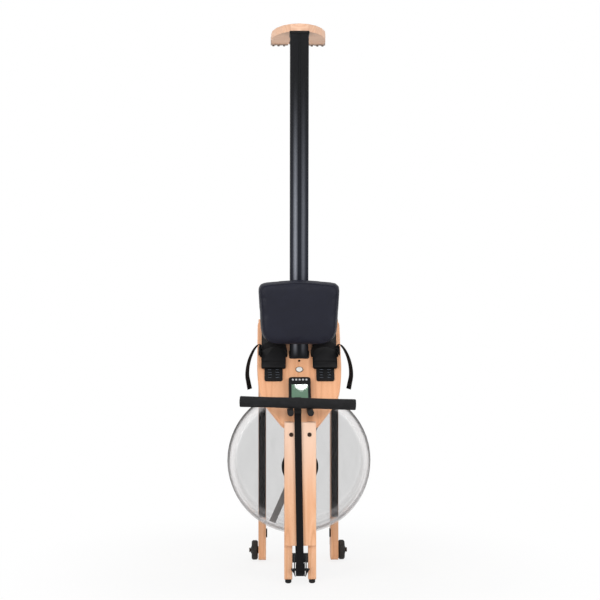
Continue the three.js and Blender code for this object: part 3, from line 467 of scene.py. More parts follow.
def settle(piece: Piece, finish: "Finish", datum: Datum | None = LEVEL, body: Body = Body.FRAME,
           replaces: str = "") -> Piece:
    """Puts a finished piece into the machine: its place, its finish, its body and what it stands for.

    Args:
        piece: the piece, in the datum's millimetres.
        finish: its finish.
        datum: its working frame, or None where it is already in the machine's metres.
        body: the body that it rides on.
        replaces: the CAD node that it stands for.

    Returns:
        The same piece.
    """
    if datum is not None:
        piece.data.transform(datum.to_machine())
    piece.data.materials.clear()
    piece.data.materials.append(finish.material())
    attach(piece, body.value)
    if replaces:
        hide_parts(replaces)
    LOG.info("%s: %d faces on %s", piece.name, len(piece.data.polygons), body.value)
    return piece


# ---------------------------------------------------------------- bands and tubes


@dataclass
class Station:
    """One place on a band or tube: its middle, the way across it and the way through it."""

    at: Vector
    wide: Vector
    thick: Vector


def swept(name: str, stations: Sequence[Station], section: Sequence[Pair]) -> Piece:
    """Sweeps a closed section along stations, with a UV map in metres round and along the piece.

    Args:
        name: the piece's name.
        stations: where it runs, in millimetres.
        section: its outline as (across, through), in millimetres.

    Returns:
        The swept piece.
    """
    count, rings = len(section), len(stations)
    points = [s.at + s.wide * u + s.thick * v for s in stations for u, v in section]
    faces = [
        (ring + i, ring + (i + 1) % count, ring + count + (i + 1) % count, ring + count + i)
        for ring in range(0, (rings - 1) * count, count)
        for i in range(count)
    ]
    last = (rings - 1) * count
    ends = [tuple(reversed(range(count))), tuple(range(last, last + count))]
    piece = modelled(name, points, [], faces + ends)
    across, along = [0.0], [0.0]
    for i in range(count):
        across.append(across[-1] + (Vector(section[(i + 1) % count]) - Vector(section[i])).length * MM)
    for before, after in zip(stations, stations[1:]):
        along.append(along[-1] + (after.at - before.at).length * MM)
    cloth = piece.data.uv_layers.new(name="Cloth")
    for number, polygon in enumerate(piece.data.polygons[:last]):
        ring, i = divmod(number, count)
        corners = ((i, ring), (i + 1, ring), (i + 1, ring + 1), (i, ring + 1))
        for loop, (u, v) in zip(polygon.loop_indices, corners):
            cloth.data[loop].uv = (across[u], along[v])
    with editing(piece, all_of_it=True):
        bpy.ops.mesh.normals_make_consistent(inside=False)
    return smoothed(piece, 50)


def webbing_section(width: float, thickness: float) -> list[Pair]:
    """Draws the section of flat webbing: full in the middle, with rounded selvedges.

    Args:
        width: its width.
        thickness: its thickness.

    Returns:
        The section's points.
    """
    right = [(0.0, 0.92), (0.5, 0.9), (0.86, 0.86), (0.93, 1.0), (0.985, 0.62), (1.0, 0.0)]
    upper = [(-u, v) for u, v in reversed(right[1:])] + right
    lower = [(u, -v) for u, v in reversed(upper[1:-1])]
    return [(u * width / 2, v * thickness / 2) for u, v in upper + lower]


def round_section(radius: float, sides: int) -> list[Pair]:
    """Returns: the points of a round section."""
    return [(radius * math.cos(a), radius * math.sin(a)) for a in evenly(0, 2 * math.pi, sides)[:-1]]


def spline(stops: Sequence[Sequence[float]], steps: int) -> list[list[float]]:
    """Draws a smooth line through stops of any number of values.

    Args:
        stops: the values at each stop.
        steps: how many steps between two stops.

    Returns:
        The values along the line.
    """
    line = []
    padded = [stops[0], *stops, stops[-1]]
    for i, around in enumerate(zip(padded, padded[1:], padded[2:], padded[3:])):
        for k in range(steps + (i == len(stops) - 2)):
            t = k / steps
            line.append([
                0.5 * (2 * q + (r - p) * t + (2 * p - 5 * q + 4 * r - s) * t * t
                       + (3 * q - p - 3 * r + s) * t ** 3)
                for p, q, r, s in zip(*around)
            ])
    return line


def tube_stations(points: Sequence[Vector]) -> list[Station]:
    """Carries a section along points without twisting it.

    Args:
        points: where the tube runs.

    Returns:
        Its stations.
    """
    stations = []
    wide = Vector(UP)
    for i, at in enumerate(points):
        ahead = (points[min(i + 1, len(points) - 1)] - points[max(i - 1, 0)]).normalized()
        wide = (wide - ahead * wide.dot(ahead)).normalized()
        stations.append(Station(at, wide, ahead.cross(wide)))
    return stations


# ---------------------------------------------------------------- finishes


def linear(colour: str) -> tuple[float, float, float, float]:
    """Turns an sRGB hex colour into linear values.

    Args:
        colour: six hex digits after a #.

    Returns:
        Red, green, blue and a full alpha.
    """
    parts = [int(colour[i:i + 2], 16) / 255 for i in (1, 3, 5)]
    red, green, blue = (c / 12.92 if c <= 0.04045 else ((c + 0.055) / 1.055) ** 2.4 for c in parts)
    return red, green, blue, 1.0


@dataclass
class Graph:
    """The nodes of a material or the world, and the steps that they are drawn with."""

    tree: bpy.types.NodeTree

    def feed(self, node: bpy.types.Node, links: Links) -> None:
        """Sets or links a node's inputs.

        Args:
            node: the node.
            links: values or other nodes' outputs, by the name or number of the input that takes them.
        """
        for place, value in links.items():
            if isinstance(value, Socket):
                self.tree.links.new(value, node.inputs[place])
            else:
                node.inputs[place].default_value = value

    def add(self, kind: str, links: Links | None = None, **settings: object) -> bpy.types.Node:
        """Adds a node with its settings and links.

        Args:
            kind: the node's type, without its ShaderNode prefix.
            links: what its inputs take.
            settings: the node's own settings.

        Returns:
            The node.
        """
        node = self.tree.nodes.new("ShaderNode" + kind)
        for name, value in settings.items():
            setattr(node, name, value)
        self.feed(node, links or {})
        return node

    def ramp(self, value: Socket, stops: dict[float, str]) -> Socket:
        """Colours a value.

        Args:
            value: the value.
            stops: the colours by place, from 0 up.

        Returns:
            The colour.
        """
        node = self.add("ValToRGB", {"Fac": value})
        elements = node.color_ramp.elements
        while len(elements) < len(stops):
            elements.new(0.5)
        for element, (place, colour) in zip(elements, stops.items()):
            element.position, element.color = place, linear(colour)
        return node.outputs[0]

    def math(self, operation: str, *values: object) -> Socket:
        """Returns: the result of a Math node's operation on values or outputs."""
        return self.add("Math", dict(enumerate(values)), operation=operation).outputs[0]

    def vector(self, operation: str, output: int | str, *values: object) -> Socket:
        """Returns: an output of a Vector Math node's operation on values or outputs."""
        return self.add("VectorMath", dict(enumerate(values)), operation=operation).outputs[output]

    def span(self, value: Socket, source: Pair = (0.0, 1.0), target: Pair = (0.0, 1.0),
             smooth: bool = False) -> Socket:
        """Maps one range of a value onto another and clamps it.

        Args:
            value: the value.
            source: the ends of its range.
            target: what the ends become.
            smooth: whether the ends are eased.

        Returns:
            The mapped value.
        """
        easing = "SMOOTHSTEP" if smooth else "LINEAR"
        return self.add("MapRange", {
            "Value": value, "From Min": source[0], "From Max": source[1],
            "To Min": target[0], "To Max": target[1],
        }, interpolation_type=easing).outputs[0]

    def mix(self, share: Socket, first: Socket | str, second: Socket | str) -> Socket:
        """Returns: the first of two colours or outputs, mixed with a share of the second."""
        ends = [linear(end) if isinstance(end, str) else end for end in (first, second)]
        return self.add("Mix", {0: share, 6: ends[0], 7: ends[1]}, data_type="RGBA").outputs[2]

    def shade(self, colour: Socket, value: Socket) -> Socket:
        """Returns: a colour made darker or lighter by a value about 1."""
        return self.add("HueSaturation", {"Color": colour, "Value": value}).outputs[0]

    def place(self) -> Socket:
        """Returns: the piece's own coordinates."""
        return self.add("TexCoord").outputs["Object"]

    def noise(self, grit: float, detail: float = 2.0, rough: float = 0.5, stretch: Triple = (1, 1, 1),
              turn: Triple = (0, 0, 0)) -> Socket:
        """Draws noise of a real size on the piece's own coordinates.

        Args:
            grit: the size of one grain, in millimetres.
            detail: how many finer layers it has.
            rough: the weight of the finer layers.
            stretch: how much each direction is squeezed, where less than 1 draws it out.
            turn: the pattern's turn about X, Y and Z, in degrees.

        Returns:
            The noise's value.
        """
        angles = [math.radians(a) for a in turn]
        lying = self.add("Mapping", {"Vector": self.place(), "Rotation": angles})
        drawn = self.add("Mapping", {"Vector": lying.outputs[0], "Scale": stretch})
        return self.add("TexNoise", {
            "Vector": drawn.outputs[0], "Scale": 1 / (grit * MM), "Detail": detail, "Roughness": rough,
        }).outputs["Fac"]

    def edge(self, radius_mm: float) -> Socket:
        """Returns: the normal with the piece's edges rounded to a radius."""
        return self.add("Bevel", {"Radius": radius_mm * MM}, samples=4).outputs[0]

    def wear(self, edge: Socket, most: float) -> Socket:
        """Returns: the wear from 0 to most, which is where the rounded edges' normal turns away."""
        flat = self.add("NewGeometry").outputs["Normal"]
        return self.span(self.vector("DOT_PRODUCT", "Value", edge, flat), (0.99, 0.82), (0.0, most))

    def bump(self, height: Socket, strength: float, depth_mm: float,
             normal: Socket | None = None) -> Socket:
        """Roughens the surface.

        Args:
            height: the relief.
            strength: its strength.
            depth_mm: its depth, in millimetres.
            normal: the normal that it is laid on, where that isn't the surface's.

        Returns:
            The normal.
        """
        links = {"Height": height, "Strength": strength, "Distance": depth_mm * MM}
        if normal is not None:
            links["Normal"] = normal
        return self.add("Bump", links).outputs[0]


@dataclass(frozen=True)
class Finish:
    """What every finish has: a name, the record's slot, and one Principled shader that it feeds."""

    name: str
    slot: Slot = Slot.BLACK

    def material(self) -> bpy.types.Material:
        """Returns: the material, made once and then shared."""
        found = bpy.data.materials.get(self.name)
        if found:
            return found
        made = bpy.data.materials.new(self.name)
        made.use_nodes = True
        graph = Graph(made.node_tree)
        graph.feed(graph.tree.nodes["Principled BSDF"], self.coat(graph))
        return made

    def coat(self, graph: Graph) -> Links:
        """Returns: what the shader's inputs take, values or outputs by the input's name."""
        raise NotImplementedError


@dataclass(frozen=True)
class OiledBeech(Finish):
    """Steamed beech, sanded and oiled: an even peach brown with faint growth bands, the short dark
    ray flecks that tell beech from other woods, and arrises painted paler along rounded edges."""

    slot: Slot = Slot.WOOD
    grain: Grain = Grain.ALONG
    pale: str = "#edbb95"
    middle: str = "#e4a97f"
    deep: str = "#d39a72"
    fleck: str = "#bb7f58"
    bark_side: str = "#f2d2bc"
    band_mm: float = 34.0
    bands: float = 6.0
    sapwood: float = 0.0

    def coat(self, graph: Graph) -> Links:
        """Returns: what the shader's inputs take."""
        turn = self.grain.value
        # Growth bands: contour lines of a slow field that is drawn out 16 times along the grain
        field = graph.noise(self.band_mm, 1.0, 0.35, (1, 1, 0.06), turn)
        band = graph.math("PINGPONG", graph.math("MULTIPLY", field, self.bands), 1.0)
        base = graph.ramp(band, {0.0: self.middle, 0.5: self.pale, 0.9: self.middle, 1.0: self.deep})
        # Fibres 0.8 mm wide, and ray flecks 0.7 mm wide and 4 mm long
        fibre = graph.noise(0.8, 2.0, 0.6, (1, 1, 0.04), turn)
        rays = graph.noise(0.7, 0.0, 0.5, (1, 1, 0.17), turn)
        cloud = graph.noise(180.0, 1.0, 0.4, (1, 1, 0.4), turn)
        grained = graph.mix(graph.span(fibre, (0.3, 0.75), (0.0, 0.5)), base, self.middle)
        dash = graph.span(rays, (0.66, 0.74), (0.0, 0.5))
        flecked = graph.mix(dash, grained, self.fleck)
        toned = graph.shade(flecked, graph.span(cloud, (0.35, 0.65), (0.94, 1.04)))
        # The boards turn paler from 0.25 to 0.6 m along the machine
        along = graph.add("SeparateXYZ", {0: graph.place()}).outputs[2]
        paling = graph.span(along, (0.25, 0.6), (0.0, self.sapwood), smooth=True)
        pale = graph.mix(paling, toned, self.bark_side)
        # Arrises: where a 3 mm round-over turns the surface, the wood is painted paler
        arris = graph.edge(3.0)
        return {
            "Base Color": graph.mix(graph.wear(arris, 0.35), pale, self.pale),
            "Roughness": graph.span(fibre, target=(0.4, 0.58)),
            "Normal": graph.bump(graph.math("SUBTRACT", fibre, dash), 0.2, 0.12, arris),
            "IOR": 1.48,
        }


@dataclass(frozen=True)
class Anodised(Finish):
    """Extruded aluminium, black anodised: a dark satin skin with fine die lines along its length,
    painted highlight bands over the two tracks that the seat's rollers run on, brighter toward the
    feet, a painted bluish reflection between them and painted shade at the rail's foot."""

    slot: Slot = Slot.RAIL
    colour: str = "#0b0c0e"
    light: str = "#141518"
    # The bands' painted highlight colour, then the painted bluish reflection between the tracks
    polished: str = "#8f929b"
    shadow: str = "#1d2028"
    track_out_mm: float = 15.5
    track_half_mm: float = 12.0
    # Where the painted highlight fades out up the rail and into painted shade at its foot, and how
    # much of it the right band gets
    track_fade: Pair = (1.95, 1.22)
    foot_fade: Pair = (0.832, 0.9)
    right_share: float = 0.44

    def coat(self, graph: Graph) -> Links:
        """Returns: what the shader's inputs take."""
        # Die lines 0.6 mm apart that run the whole length
        lines = graph.noise(0.6, 3.0, 0.6, (1, 1, 0.002))
        scuffs = graph.noise(22.0, 4.0, 0.65, (1, 1, 0.12))
        tint = graph.span(graph.math("MULTIPLY", lines, scuffs), (0.12, 0.42))
        # The painted highlight bands over the two roller tracks, 31 mm apart and broken up unevenly,
        # fade out up the seat's run and into painted shade at the rail's foot, and the right band is
        # painted dimmer, as the light falls from the left
        across, _, along = graph.add("SeparateXYZ", {0: graph.place()}).outputs
        off = graph.math("SUBTRACT", graph.math("ABSOLUTE", across), self.track_out_mm * MM)
        track = graph.span(graph.math("ABSOLUTE", off), (self.track_half_mm * MM, 0.0), smooth=True)
        fades = (graph.span(along, ends, smooth=True) for ends in (self.track_fade, self.foot_fade))
        run = graph.math("MULTIPLY", *fades)
        side = graph.span(across, (-MM, MM), (1.0, self.right_share))
        sided = graph.math("MULTIPLY", graph.math("MULTIPLY", track, run), side)
        share = graph.math("MULTIPLY", sided, graph.span(scuffs, (0.25, 0.7), (0.75, 1.0)))
        # Toward the feet the skin between the tracks is painted a bluish grey, a painted reflection
        blued = graph.mix(run, graph.mix(tint, self.colour, self.light), self.shadow)
        return {
            "Base Color": graph.mix(share, blued, self.polished),
            "Roughness": graph.span(scuffs, (0.3, 0.7), (0.4, 0.55)),
            "Normal": graph.bump(lines, 0.12, 0.04, graph.edge(0.8)),
            "Metallic": 0.25,
            "Specular IOR Level": 0.15,
        }


@dataclass(frozen=True)
class Moulded(Finish):
    """Injection-moulded ABS: one body colour, the spark-eroded grain of the mould 0.7 mm across, and
    paler rubbed edges."""

    colour: str = "#0a0a0b"
    worn: str = "#1c1c1e"
    roughness: float = 0.5
    gloss: float = 0.16

    def coat(self, graph: Graph) -> Links:
        """Returns: what the shader's inputs take."""
        # Smears 45 mm long from handling
        smear = graph.noise(45.0, 3.0, 0.6)
        edge = graph.edge(1.2)
        handled = graph.span(smear, (0.3, 0.7), (0.0, 0.25))
        rubbed = graph.math("MAXIMUM", graph.wear(edge, 0.7), handled)
        return {
            "Base Color": graph.mix(rubbed, self.colour, self.worn),
            "Roughness": graph.span(smear, (0.3, 0.7), (self.roughness - 0.07, self.roughness + 0.07)),
            "Normal": graph.bump(graph.noise(0.7), 0.35, 0.05, edge),
            "IOR": 1.53,
            "Specular IOR Level": self.gloss,
        }


@dataclass(frozen=True)
class PowderCoated(Finish):
    """Mild steel, powder coated black: a hard satin skin with a faint orange peel 1.6 mm across."""

    slot: Slot = Slot.STEEL
    colour: str = "#0f0f11"
    light: str = "#1b1b1e"

    def coat(self, graph: Graph) -> Links:
        """Returns: what the shader's inputs take."""
        cloud = graph.noise(30.0, 3.0)
        return {
            "Base Color": graph.mix(cloud, self.colour, self.light),
            "Roughness": graph.span(cloud, target=(0.34, 0.52)),
            "Normal": graph.bump(graph.noise(1.6, 1.0), 0.3, 0.06, graph.edge(0.8)),
            "IOR": 1.5,
            "Specular IOR Level": 0.35,
        }


@dataclass(frozen=True)
class ClearPlastic(Finish):
    """Thermoformed polycarbonate sheet, clear with a faint smoke tint: it is painted a paler grey
    where it is seen edge on, a painted reflection, and mirrors the lamps in its shoulders over a
    painted near-white highlight ring."""

    slot: Slot = Slot.CLEAR
    smoke: str = "#171113"
    # The paler grey seen edge on is a painted reflection, and the near-white shoulder ring a painted
    # highlight
    rim: str = "#c6c4c5"
    milk: str = "#f8f6f7"
    clear_alpha: float = 0.107
    rim_alpha: float = 0.42
    milk_alpha: float = 0.21
    milk_rise: Pair = (0.238, 0.258)
    milk_fall: Pair = (0.274, 0.264)
    axis_up: float = 0.43

    def coat(self, graph: Graph) -> Links:
        """Returns: what the shader's inputs take."""
        # The sheet's wall is thin, so it shows as cover that grows with the slant of view
        slant = graph.add("LayerWeight", {"Blend": 0.5}).outputs["Facing"]
        cover = graph.span(slant, (0.25, 1.0), (self.clear_alpha, self.rim_alpha))
        # Seen edge on, the sheet is painted a paler grey, a painted reflection
        edge_on_reflection = graph.mix(graph.math("POWER", slant, 1.3), self.smoke, self.rim)
        # Round the shoulder, 238 to 274 mm from the tank's axis, a near-white ring is painted in, a
        # painted highlight
        flat = graph.vector("MULTIPLY", 0, graph.place(), (1, 0, 1))
        out = graph.vector("DISTANCE", "Value", flat, (0, 0, self.axis_up))
        slopes = (graph.span(out, ends, smooth=True) for ends in (self.milk_rise, self.milk_fall))
        drawn = graph.math("MULTIPLY", *slopes)
        # Smears 35 mm long from drying drops, and slow waves 60 mm long from the drawing of the sheet
        haze = graph.span(graph.noise(35.0, 3.0, 0.5, (1, 1, 0.3)), (0.5, 0.8), (0.0, 0.025))
        highlight_cover = graph.math("MULTIPLY", drawn, self.milk_alpha)
        return {
            "Base Color": graph.mix(drawn, edge_on_reflection, self.milk),
            "Alpha": graph.math("MAXIMUM", graph.math("ADD", cover, haze), highlight_cover),
            "Normal": graph.bump(graph.noise(60.0, 1.0), 0.1, 0.4),
            "Roughness": 0.05,
            "IOR": 1.585,
            "Specular IOR Level": 0.75,
        }


@dataclass(frozen=True)
class Rubber(Finish):
    """Moulded rubber: near-black and matt, with a dusty bloom and a mould grain 1.1 mm across."""

    slot: Slot = Slot.RUBBER
    colour: str = "#141415"
    bloom: str = "#2a2a2b"
    roughness: float = 0.78

    def coat(self, graph: Graph) -> Links:
        """Returns: what the shader's inputs take."""
        # Dust in patches 18 mm across
        dust = graph.noise(18.0, 4.0, 0.65)
        dusted = graph.span(dust, (0.42, 0.75), (0.0, 0.7))
        return {
            "Base Color": graph.mix(dusted, self.colour, self.bloom),
            "Roughness": graph.span(dust, target=(self.roughness - 0.08, self.roughness + 0.1)),
            "Normal": graph.bump(graph.noise(1.1, 3.0), 0.4, 0.12, graph.edge(1.0)),
            "IOR": 1.52,
            "Specular IOR Level": 0.25,
        }


@dataclass(frozen=True)
class Webbing(Finish):
    """Woven polypropylene webbing: ribs of plaited yarn across it, a tight selvedge down each edge
    and a dry, slightly shining thread, with painted highlights on the raised yarns."""

    slot: Slot = Slot.WEBBING
    colour: str = "#080708"
    light: str = "#181619"
    yarn_mm: float = 2.2
    rib_mm: float = 1.7

    def coat(self, graph: Graph) -> Links:
        """Returns: what the shader's inputs take."""
        # A plain weave: yarns 2.2 mm wide go over and under ribs 1.7 mm apart, a little coarser than
        # the real thread so that they show
        cloth = graph.add("SeparateXYZ", {0: graph.add("UVMap", uv_map="Cloth").outputs[0]}).outputs
        warp, weft = (
            graph.math("SINE", graph.math("MULTIPLY", way, math.pi / (pitch * MM)))
            for way, pitch in zip(cloth, (self.yarn_mm, self.rib_mm)))
        raised = graph.math("ABSOLUTE", graph.math("MULTIPLY", warp, weft))
        # The raised yarns are painted lighter, a painted highlight
        thread_highlight = graph.span(raised, (0.25, 1.0), (0.0, 0.8))
        fuzz = graph.noise(0.35)
        return {
            "Base Color": graph.mix(thread_highlight, self.colour, self.light),
            "Roughness": graph.span(fuzz, target=(0.62, 0.85)),
            "Normal": graph.bump(graph.math("MULTIPLY_ADD", raised, 0.25, fuzz), 0.7, 0.35),
            "Sheen Weight": 0.03,
            "Specular IOR Level": 0.14,
        }


@dataclass(frozen=True)
class SoftVinyl(Finish):
    """PU-coated upholstery vinyl: blue-black with a pebbled leather print, softly shining where it
    is stretched, and duller in its creases, which are painted darker, a painted shade."""

    slot: Slot = Slot.VINYL
    colour: str = "#0e1020"
    worn: str = "#151829"

    def coat(self, graph: Graph) -> Links:
        """Returns: what the shader's inputs take."""
        # Pebbles 1.6 mm across, as such covers have, with creases between them
        pebble = graph.add("TexVoronoi", {"Vector": graph.place(), "Scale": 1 / (1.6 * MM)},
                           feature="DISTANCE_TO_EDGE").outputs[0]
        crease = graph.span(pebble, (0.0, 0.16))
        share = graph.span(graph.noise(70.0, 3.0, 0.6), (0.35, 0.7), (0.0, 0.55))
        base = graph.mix(share, self.colour, self.worn)
        # The creases between the pebbles are painted darker, a painted shade
        return {
            "Base Color": graph.shade(base, graph.span(crease, target=(0.72, 1.0))),
            "Roughness": graph.span(crease, target=(0.68, 0.46)),
            "Normal": graph.bump(crease, 0.35, 0.12),
            "IOR": 1.5,
            "Specular IOR Level": 0.26,
        }


@dataclass(frozen=True)
class Bronzed(Finish):
    """Steel fasteners, blackened to a brown bronze: metallic, brushed in lines 0.5 mm apart, and
    bright on the edge."""

    slot: Slot = Slot.BRONZE
    colour: str = "#3b2c24"
    bright: str = "#7a604c"

    def coat(self, graph: Graph) -> Links:
        """Returns: what the shader's inputs take."""
        brushed = graph.noise(0.5, 3.0, 0.5, (1, 0.15, 1))
        edge = graph.edge(0.7)
        return {
            "Base Color": graph.mix(graph.wear(edge, 0.8), self.colour, self.bright),
            "Roughness": graph.span(brushed, target=(0.3, 0.5)),
            "Normal": graph.bump(brushed, 0.2, 0.03, edge),
            "Metallic": 0.9,
        }


@dataclass(frozen=True)
class CrystalDisplay(Finish):
    """A liquid-crystal display behind a hard clear window: grey-green film with a faint dot grid
    under a glossy coat."""

    slot: Slot = Slot.DISPLAY
    colour: str = "#447254"
    dots: str = "#3a6347"

    def coat(self, graph: Graph) -> Links:
        """Returns: what the shader's inputs take."""
        # Dots 1.1 mm apart, coarser than the real film's so that they show
        film = linear(self.colour)
        grid = graph.add("TexBrick", {
            "Vector": graph.place(), "Color1": film, "Color2": film, "Mortar": linear(self.dots),
            "Scale": 1 / (1.1 * MM), "Mortar Size": 0.08, "Brick Width": 1.0, "Row Height": 1.0,
        }, offset=0.0)
        cloud = graph.noise(40.0, 1.0)
        return {
            "Base Color": graph.shade(grid.outputs["Color"], graph.span(cloud, target=(0.9, 1.08))),
            "Roughness": 0.35,
            "IOR": 1.5,
            "Coat Weight": 1.0,
            "Coat Roughness": 0.03,
        }


WOOD_ALONG = OiledBeech("oiled_beech_along")
WOOD_COVER = OiledBeech("oiled_beech_sapwood", sapwood=0.75)
WOOD_PANEL = OiledBeech("oiled_beech_panel", grain=Grain.PANEL, pale="#f4b98e", middle="#ecab7f",
                        deep="#dc9e76", band_mm=46.0)
WOOD_ACROSS = OiledBeech("oiled_beech_across", grain=Grain.ACROSS, pale="#f4ccae", middle="#edbb9a",
                         deep="#dfa985")
RAIL_METAL = Anodised("anodised_aluminium")
BLACK_ABS = Moulded("moulded_abs_black")
GREY_ABS = Moulded("moulded_abs_grey", Slot.GREY, "#858382", "#9c9a99", 0.45, 0.4)
KEY_ABS = Moulded("moulded_abs_key", Slot.BUTTON, "#c6c7ca", "#e6e7e8", 0.35, 0.5)
TREAD_ABS = Moulded("moulded_abs_tread", Slot.BLACK, "#0c0c0e", "#1b1b1d", 0.5, 0.2)
LINER_ABS = Moulded("moulded_abs_liner", Slot.GREY, "#7f8692", "#9aa0aa")
BADGE_ABS = Moulded("moulded_abs_ivory", Slot.GREY, "#f1efeb", "#faf8f5", 0.35, 0.5)
COATED_STEEL = PowderCoated("powder_coated_steel")
POLYCARBONATE = ClearPlastic("clear_polycarbonate")
RUBBER = Rubber("moulded_rubber")
STRIP_RUBBER = Rubber("ribbed_rubber", Slot.RUBBER, "#070707", "#121213")
FELT = Rubber("pressed_felt", Slot.RUBBER, "#a8988e", "#c3b4a9", 0.9)
STUD_RUBBER = Rubber("stud_rubber", Slot.RUBBER, "#7d6f67", "#94867d")
TYRE_RUBBER = Rubber("tyre_rubber", Slot.RUBBER, "#2b2a29", "#403e3b", 0.7)
GRIP_FOAM = Rubber("closed_cell_foam", Slot.GRIP, "#161617", "#27272a", 0.85)
CORD_RUBBER = Rubber("braided_shock_cord", Slot.RUBBER, "#121213", "#2c2c2f", 0.8)
STRAP_CLOTH = Webbing("woven_webbing")
VINYL = SoftVinyl("upholstery_vinyl")
BRONZE = Bronzed("bronzed_steel")
DISPLAY = CrystalDisplay("crystal_display")

# Nodes by finish; a * stands for left and right
NODE_FINISHES: dict[Finish, tuple[str, ...]] = {
    WOOD_PANEL: ("foot_panel",),
    WOOD_ALONG: ("*_runner",),
    WOOD_COVER: ("deck_cover", "*_deck_board"),
    WOOD_ACROSS: ("front_cross_board", "rear_cross_board", "rear_foot"),
    RAIL_METAL: ("monorail",),
    POLYCARBONATE: ("tank_lower", "tank_upper"),
    GREY_ABS: ("tank_seal", "paddle"),
    BLACK_ABS: ("tank_plug", "drive_drum", "front_pulley", "recoil_pulley", "*_foot_plate",
                "*_heel_rest", "monitor_case", "front_rollers", "rear_rollers"),
    COATED_STEEL: ("drive_frame", "pulley_bracket", "seat_carriage"),
    RUBBER: ("*_front_pad", "*_rear_pad", "*_tank_strip", "*_storage_foot", "*_handle_peg"),
    FELT: ("*_rear_foot_pad",),
    TYRE_RUBBER: ("*_wheel",),
    BRONZE: ("*_wheel_bolt",),
    GRIP_FOAM: ("handle",),
    DISPLAY: ("monitor_window",),
    KEY_ABS: tuple(f"button_{number}" for number in range(1, 6)),
}


def dress_frame() -> None:
    """Gives every CAD node its finish."""
    for finish, patterns in NODE_FINISHES.items():
        nodes = sorted({pattern.replace("*", side.word) for pattern in patterns for side in Side})
        for name in nodes:
            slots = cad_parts[name].data.materials
            slots.clear()
            slots.append(finish.material())
        LOG.info("%s on %d nodes", finish.name, len(nodes))


# ---------------------------------------------------------------- the studio


@dataclass(frozen=True)
class Lamp:
    """A soft lamp, in metres and watts: a rectangle that looks at the machine's middle, or a disc
    that looks down."""

    name: str
    place: Triple
    size: Pair
    power: float
    shape: str = "RECTANGLE"

    def hang(self) -> None:
        """Hangs the lamp."""
        data = bpy.data.lights.new(self.name, "AREA")
        data.shape, data.energy = self.shape, self.power
        data.size, data.size_y = self.size
        lamp = bpy.data.objects.new(self.name, data)
        lamp.location = self.place
        if self.shape == "RECTANGLE":
            middle = Vector((0, 0, 1.05))
            lamp.rotation_euler = (middle - Vector(self.place)).to_track_quat("-Z", "Y").to_euler()
        bpy.context.collection.objects.link(lamp)


@dataclass
class Studio:
    """The photographer's room: camera, pale floor and soft lamps, in metres."""

    lens_mm: float = 66.0
    sensor_mm: float = 36.0
    camera_place: Triple = (-0.0927, -4.283, 1.059)
    camera_yaw: float = -1.28
    floor_size: float = 18.0
    floor_top: float = -0.0005
    world_light: float = 0.56
    lamps: tuple[Lamp, ...] = (
        Lamp("key", (-2.95, -3.8, 1.75), (2.2, 2.5), 61.0),
        Lamp("fill", (3.05, -3.6, 1.7), (2.2, 2.5), 52.0),
        Lamp("front", (-0.3, -4.2, 3.1), (2.6, 0.9), 32.0),
        Lamp("crown", (0.0, 0.2, 4.4), (2.4, 1.2), 30.0),
        # The monitor's window mirrors this one
        Lamp("spot", (0.053, -0.652, 2.6), (0.074, 0.074), 0.4, "DISK"),
    )

    def build(self) -> None:
        """Sets up the camera, the floor, the world and the lamps."""
        self.camera()
        self.floor()
        self.world()
        for lamp in self.lamps:
            lamp.hang()
        bpy.context.scene.view_settings.view_transform = "Standard"
        LOG.info("studio with %d lamps", len(self.lamps))

    def camera(self) -> None:
        """Places the camera where the photograph was taken."""
        data = bpy.data.cameras.new("camera")
        data.lens, data.sensor_width = self.lens_mm, self.sensor_mm
        data.clip_start, data.clip_end = 0.05, 60.0
        camera = bpy.data.objects.new("camera", data)
        camera.location = self.camera_place
        camera.rotation_euler = (math.radians(90), 0, math.radians(self.camera_yaw))
        bpy.context.collection.objects.link(camera)
        bpy.context.scene.camera = camera

    def floor(self) -> None:
        """Lays a pale floor that keeps the machine's shadow."""
        bpy.ops.mesh.primitive_plane_add(size=self.floor_size, location=(0, 0, self.floor_top))
        floor = fresh("floor")
        material = bpy.data.materials.new("matt_white_floor")
        material.use_nodes = True
        graph = Graph(material.node_tree)
        graph.tree.nodes.remove(graph.tree.nodes["Principled BSDF"])
        # A cloth that pales and darkens over 400 mm
        tone = graph.ramp(graph.noise(400.0), {0.3: "#ececeb", 0.7: "#f4f4f3"})
        cloth = graph.add("BsdfDiffuse", {"Color": tone}).outputs[0]
        glow = graph.add("Emission", {"Strength": 1.0}).outputs[0]
        # Round the machine the cloth keeps its shadow, and from there it pales into the backdrop
        away = graph.vector("LENGTH", "Value", graph.place())
        pale = graph.span(away, (0.35, 1.3), (0.84, 1.0), smooth=True)
        share = graph.math("MULTIPLY", self.seen_directly(graph), pale)
        mixed = graph.add("MixShader", {0: share, 1: cloth, 2: glow}).outputs[0]
        graph.feed(graph.tree.nodes["Material Output"], {0: mixed})
        floor.data.materials.append(material)
        floor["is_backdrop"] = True

    def seen_directly(self, graph: Graph) -> Socket:
        """Adds the test for rays that show the background.

        Args:
            graph: the nodes of the world or the floor.

        Returns:
            1 for a ray from the camera, from a mirror or through glass, and 0 for light.
        """
        path = graph.add("LightPath").outputs
        mirrored = graph.math("MAXIMUM", path["Is Camera Ray"], path["Is Glossy Ray"])
        return graph.math("MAXIMUM", mirrored, path["Is Transmission Ray"])

    def world(self) -> None:
        """Makes the backdrop white to the camera and a quiet grey to the object."""
        world = bpy.data.worlds.new("studio")
        world.use_nodes = True
        graph = Graph(world.node_tree)
        graph.tree.nodes.clear()
        light, seen = (
            graph.add("Background", {"Color": (1, 1, 1, 1), "Strength": strength}).outputs[0]
            for strength in (self.world_light, 1.0))
        mixed = graph.add("MixShader", {0: self.seen_directly(graph), 1: light, 2: seen}).outputs[0]
        graph.add("OutputWorld", {0: mixed})
        bpy.context.scene.world = world


# ---------------------------------------------------------------- sub-assemblies


